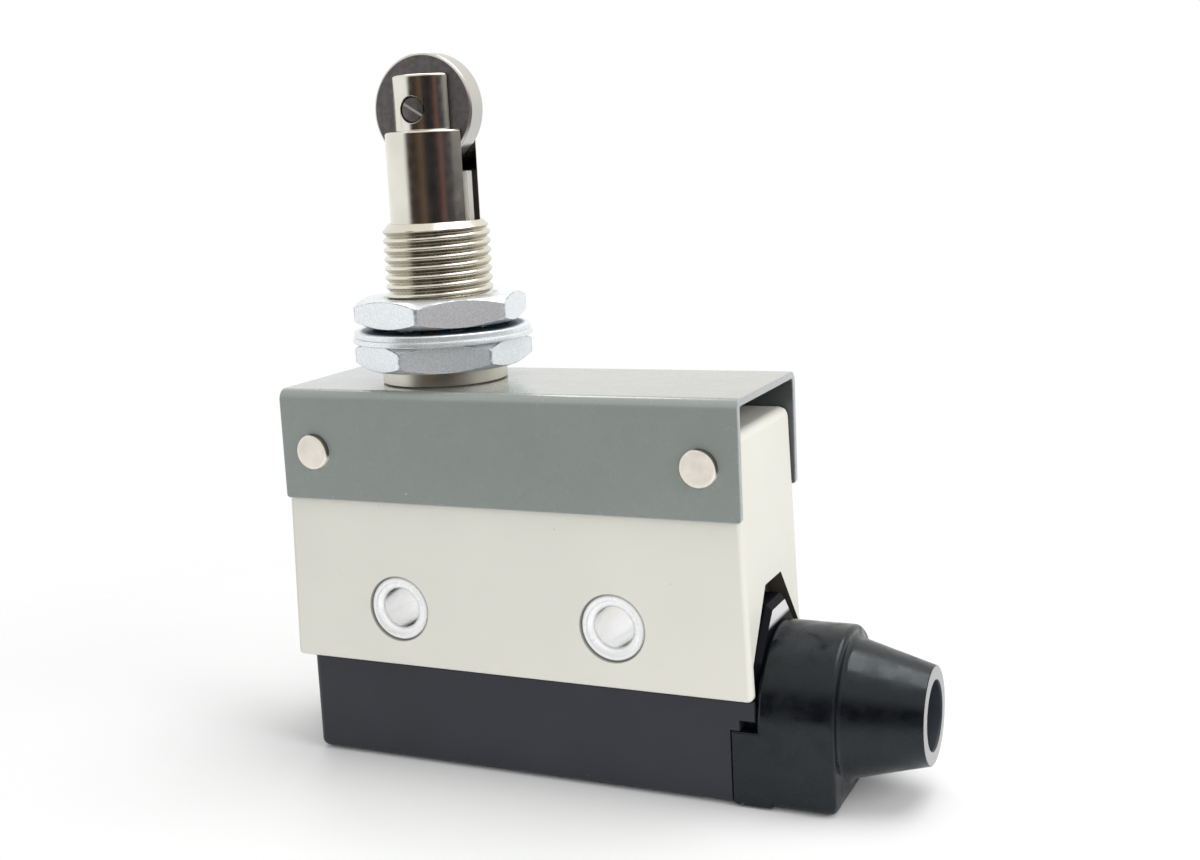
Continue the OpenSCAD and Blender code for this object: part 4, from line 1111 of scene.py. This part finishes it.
# Plunger: turned and nickel plated, with a fork for the roller, a key groove on each side
# and a flange at its foot that stops it under the bushing.
plunger_low, plunger_high = span("plunger")
plunger_radius = 4.9
flange_radius = plunger_high.y
flange_top = plunger_low.z + 1.0
flange_round = 0.2
shoulder_z = 68.9
ear_radius = 3.75
edge_round = 0.3
slot_half = 1.6
slot_floor = 64.4
groove_floor = 3.4
pin_z = 71.1
pin_radius = 1.4
spring_hole = 2.3
spring_hole_top = plunger_low.z + 4.9
clear = 8


def edge_arc(radius, height, size):
    """Round at the top of a turned edge, from its side to its top."""
    return [(radius - size * c, height - size * s) for c, s in quarter(4)]


plunger = turned("plunger_fork", [
    (0, plunger_low.z), (flange_radius - flange_round, plunger_low.z),
    (flange_radius, plunger_low.z + flange_round),
    *edge_arc(flange_radius, flange_top, flange_round), (plunger_radius, flange_top),
    *edge_arc(plunger_radius, shoulder_z, edge_round), (ear_radius, shoulder_z),
    *edge_arc(ear_radius, plunger_high.z, edge_round), (0, plunger_high.z),
], steps=128)
slot_y = (-slot_half, slot_half)
groove_z = (under_z, slot_floor + 0.5)
cut_away(
    plunger,
    block((-clear, clear), slot_y, (slot_floor, plunger_high.z + past)),
    block((groove_floor, clear), slot_y, groove_z),
    block((-clear, -groove_floor), slot_y, groove_z),
    rod(pin_radius, "Y", (-clear, clear), (0, 0, pin_z)),
    rod(spring_hole, "Z", (plunger_low.z - past, spring_hole_top)),
)
soften(plunger, 0.1, angle=40)
nickel = finish(
    "nickel", (0.75, 0.73, 0.65), drift=(4, 0.06), gloss=(0.12, 0.22), grain=(0.35, 0.0012),
    flecks=(1.1, 0.05, (0.9, 0.88, 0.84)), Metallic=1.0,
)
x, y, z = place_in(nickel)
from_middle = absolute(y)
sideways = absolute(facing_in(nickel)["Y"])
in_slot = ranged(from_middle, (slot_half - 0.06, slot_half - 0.02), (1, 0))
slot_floors = all_of(in_slot, below(sideways, 0.5))
overlay(nickel, slot_floors, Base_Color=(0.85, 0.84, 0.8), Roughness=0.4)
# The slot's and grooves' side walls are painted dark: painted shade inside the fork's slot.
near_wall = ranged(from_middle, (slot_half + 0.05, slot_half + 0.1), (1, 0))
shaded_slot_walls = all_of(near_wall, above(sideways, 0.9))
overlay(nickel, shaded_slot_walls, Base_Color=(0.1, 0.09, 0.08))
# A pale, dull strip on the groove's walls next to its floor: painted light standing in for the lit floor.
inner_strip = ranged(absolute(x), (groove_floor + 0.5, groove_floor + 0.6), (1, 0))
painted_groove_light = all_of(shaded_slot_walls, inner_strip, ranged(z, (slot_floor - 0.1, slot_floor), (1, 0)))
overlay(nickel, painted_groove_light, Base_Color=(0.9, 0.89, 0.85), Roughness=0.4, Metallic=0.0)
settle(plunger, "plunger", "nickel", nickel, "plunger")


def true_rounds(piece, radii):
    """Gives the faces that lie on the turned cylinders their exact normals."""
    mesh = piece.data
    normals = [corner.vector.copy() for corner in mesh.corner_normals]
    for face in mesh.polygons:
        outward = Vector((face.center.x, face.center.y, 0)).normalized()
        if face.normal.dot(outward) < 0.999:
            continue
        for corner in face.loop_indices:
            place = mesh.vertices[mesh.loops[corner].vertex_index].co
            radial = Vector((place.x, place.y, 0))
            if min(abs(radial.length / MM - radius) for radius in radii) < 0.02:
                normals[corner] = radial.normalized()
    mesh.normals_split_custom_set(normals)


true_rounds(plunger, (plunger_radius, ear_radius))


# Roller pin: a plain steel pin pressed through the fork, with its cut ends just below the ears' faces.
# A bright scar runs across each end, and its rim is painted dark: painted shade in the joint with the ears.
roller_steel = finish(
    "roller_steel", (0.2, 0.19, 0.185), drift=(0.6, 0.2), gloss=(0.3, 0.44), grain=(0.14, 0.004),
    Metallic=0.9,
)
pin_end = span("roller_pin")[1].y
pin_half = [(0, pin_end)] + edge_arc(pin_radius, pin_end, 0.15)[::-1]
pin = turned("pin_with_cut_ends", both_ends(pin_half), "Y", (0, 0, pin_z), 64)
scar_turn = math.radians(32)
scar_depth = 0.06
scar_half = 0.11
for side in (-1, 1):
    scar = block((-2, 2), (-scar_depth, scar_depth), (-scar_half, scar_half))
    place = Matrix.Translation((0, side * pin_end, pin_z))
    scar.data.transform(place @ Matrix.Rotation(scar_turn, 4, "Y"))
    cut_away(pin, scar)
x, y, z = place_in(roller_steel)
across_scar = leaning(maths("SUBTRACT", z, pin_z), x, scar_turn)
scarred = ranged(absolute(across_scar), (scar_half - 0.01, scar_half + 0.05), (1, 0))
overlay(roller_steel, scarred, Base_Color=(0.75, 0.72, 0.67))
from_axis = reach_from(x, z, (0, pin_z))
# The rim of each pin end is painted near black: painted shade in the joint.
painted_shade_mask = ranged(from_axis, (pin_radius - 0.16, pin_radius - 0.1))
overlay(roller_steel, painted_shade_mask, Base_Color=(0.03, 0.03, 0.03))
settle(pin, "plunger", "roller_steel", roller_steel, "roller_pin")


# Roller: a hardened steel disc with bevelled edges, free to turn on the pin.
# Its faces are left dark from hardening, and its rim is ground bright.
roller_high = span("roller")[1]
roller_radius = roller_high.x
roller_bevel = 0.25
roller_bore = 1.45
bore_bevel = 0.15
roller_half = [
    (roller_bore, roller_high.y - bore_bevel), (roller_bore + bore_bevel, roller_high.y),
    (roller_radius - roller_bevel, roller_high.y), (roller_radius, roller_high.y - roller_bevel),
]
roller = turned("steel_roller", both_ends(roller_half), "Y", (0, 0, pin_z), 160)
soften(roller, 0.06, angle=30)
hardened = finish(
    "roller_hardened", (0.24, 0.23, 0.23), drift=(0.7, 0.2), gloss=(0.32, 0.46), grain=(0.2, 0.004),
    Metallic=0.9,
)
x, y, z = place_in(hardened)
face_edge = roller_radius - roller_bevel
ground = ranged(reach_from(x, z, (0, pin_z)), (face_edge - 0.06, face_edge))
overlay(hardened, ground, Base_Color=(0.62, 0.61, 0.58), Roughness=0.26)
settle(roller, "roller", "roller_steel", hardened, "roller")


# Studio: a pale floor that fades into a white surround, soft lamps above and to the right,
# and a camera where the photograph was taken from.
def lamp(name, place, size, watts, mirrored=True):
    """A round soft lamp that looks at the part; one that isn't mirrored gives no highlight."""
    light = bpy.data.lights.new(name, "AREA")
    light.shape = "DISK"
    light.size = size
    light.energy = watts
    made = bpy.data.objects.new(name, light)
    made.location = place
    aim = Vector((0.012, 0, 0.03)) - Vector(place)
    made.rotation_euler = aim.to_track_quat("-Z", "Y").to_euler()
    made.visible_camera = False
    made.visible_glossy = mirrored
    bpy.context.scene.collection.objects.link(made)


lamp("key", (0.14, 0.10, 0.45), 0.35, 1.0)
lamp("right", (0.40, -0.08, 0.21), 0.3, 0.75, mirrored=False)
lamp("rim", (-0.18, 0.20, 0.38), 0.14, 0.2)
lamp("front", (0.22, -0.42, 0.14), 0.35, 0.7, mirrored=False)

floor_middle = (0.012, 0, -0.0002)
bpy.ops.mesh.primitive_circle_add(vertices=96, radius=0.6, fill_type="NGON", location=floor_middle)
floor = bpy.context.object
floor.name = "floor"
pale = bpy.data.materials.new("pale_floor")
pale.use_nodes = True
tree = pale.node_tree
shader = tree.nodes["Principled BSDF"]
shader.inputs["Base Color"].default_value = (0.9, 0.9, 0.9, 1)
shader.inputs["Roughness"].default_value = 0.9
distance = node(tree, "VectorMath", {0: spot_in(pale)}, operation="LENGTH").outputs["Value"]
fade = ranged(distance, (0.045, 0.12))
clear_glass = node(tree, "BsdfTransparent", {})
blend = node(tree, "MixShader", {0: fade, 1: shader.outputs["BSDF"], 2: clear_glass.outputs["BSDF"]})
tree.links.new(blend.outputs["Shader"], tree.nodes["Material Output"].inputs["Surface"])
floor.data.materials.append(pale)

camera_azimuth = math.radians(26.402)
camera_height = math.radians(9.567)
camera_roll = math.radians(-3.189)
camera_distance = 0.169669
camera_target = Vector((0.011213, 0, 0.03875))
focal_px = 1566.552
shift_px = (61.884, -23.161)
image_px = 1200

level_back = Vector((math.sin(camera_azimuth), -math.cos(camera_azimuth), 0))
back = level_back * math.cos(camera_height) + Vector((0, 0, math.sin(camera_height)))
right = Vector((math.cos(camera_azimuth), math.sin(camera_azimuth), 0))
up = back.cross(right)
camera_x = right * math.cos(camera_roll) + up * math.sin(camera_roll)
camera_y = up * math.cos(camera_roll) - right * math.sin(camera_roll)
camera_turn = Matrix((camera_x, camera_y, back)).transposed().to_4x4()
view = bpy.data.cameras.new("camera")
view.sensor_width = 36
view.lens = focal_px * view.sensor_width / image_px
view.shift_x = shift_px[0] / image_px
view.shift_y = shift_px[1] / image_px
view.clip_start = 0.01
camera = bpy.data.objects.new("camera", view)
camera.matrix_world = Matrix.Translation(camera_target + back * camera_distance) @ camera_turn
bpy.context.scene.collection.objects.link(camera)
bpy.context.scene.camera = camera

world = bpy.data.worlds.new("white_surround")
bpy.context.scene.world = world
world.use_nodes = True
tree = world.node_tree
tree.nodes.clear()
ray = node(tree, "LightPath", {}).outputs
sees_glossy = maths("MAXIMUM", ray["Is Glossy Ray"], ray["Is Transmission Ray"])
direction = node(tree, "TexCoord", {}).outputs["Generated"]
rightward, frontward = [
    node(tree, "VectorMath", {0: direction, 1: axis}, operation="DOT_PRODUCT").outputs["Value"]
    for axis in (right, level_back)
]
bearing = maths("ARCTAN2", rightward, frontward)
room = node(tree, "ValToRGB", {"Fac": ranged(bearing, (-math.pi, math.pi))})
stops = [
    (-180, (1, 1, 1)), (-70, (1, 1, 1)), (-58, (0.05, 0.036, 0.031)), (-40, (0.042, 0.029, 0.025)),
    (-23, (0.125, 0.081, 0.053)), (-8, (0.025, 0.023, 0.024)), (4, (0.017, 0.016, 0.02)),
    (17, (0.042, 0.028, 0.028)), (28, (0.16, 0.081, 0.07)), (38, (0.05, 0.045, 0.053)),
    (86, (0.075, 0.069, 0.078)), (104, (0.8, 0.8, 0.8)), (150, (0.9, 0.9, 0.9)), (180, (1, 1, 1)),
]
ramp = room.color_ramp
while len(ramp.elements) < len(stops):
    ramp.elements.new(0.5)
for element, (angle, colour) in zip(ramp.elements, stops):
    element.position = (angle + 180) / 360
    element.color = (*colour, 1)
height = parts_of(direction)["Z"]
tilt = ranged(bearing, (math.radians(15), math.radians(60)), (0, 0.4))
overhead = ranged(maths("ADD", height, tilt), (0.35, 0.65))
mirrored = between(overhead, room.outputs["Color"], (0.95, 0.92, 0.88))
seen = between(sees_glossy, (1, 1, 1), mirrored)
shown = node(tree, "Background", {"Color": seen, "Strength": 1.0}).outputs["Background"]
lighting = node(tree, "Background", {"Color": (1, 1, 1, 1), "Strength": 0.55}).outputs["Background"]
direct = maths("MAXIMUM", ray["Is Camera Ray"], sees_glossy)
surround = node(tree, "MixShader", {0: direct, 1: lighting, 2: shown})
node(tree, "OutputWorld", {"Surface": surround.outputs["Shader"]})

bpy.context.scene.view_settings.view_transform = "Standard"
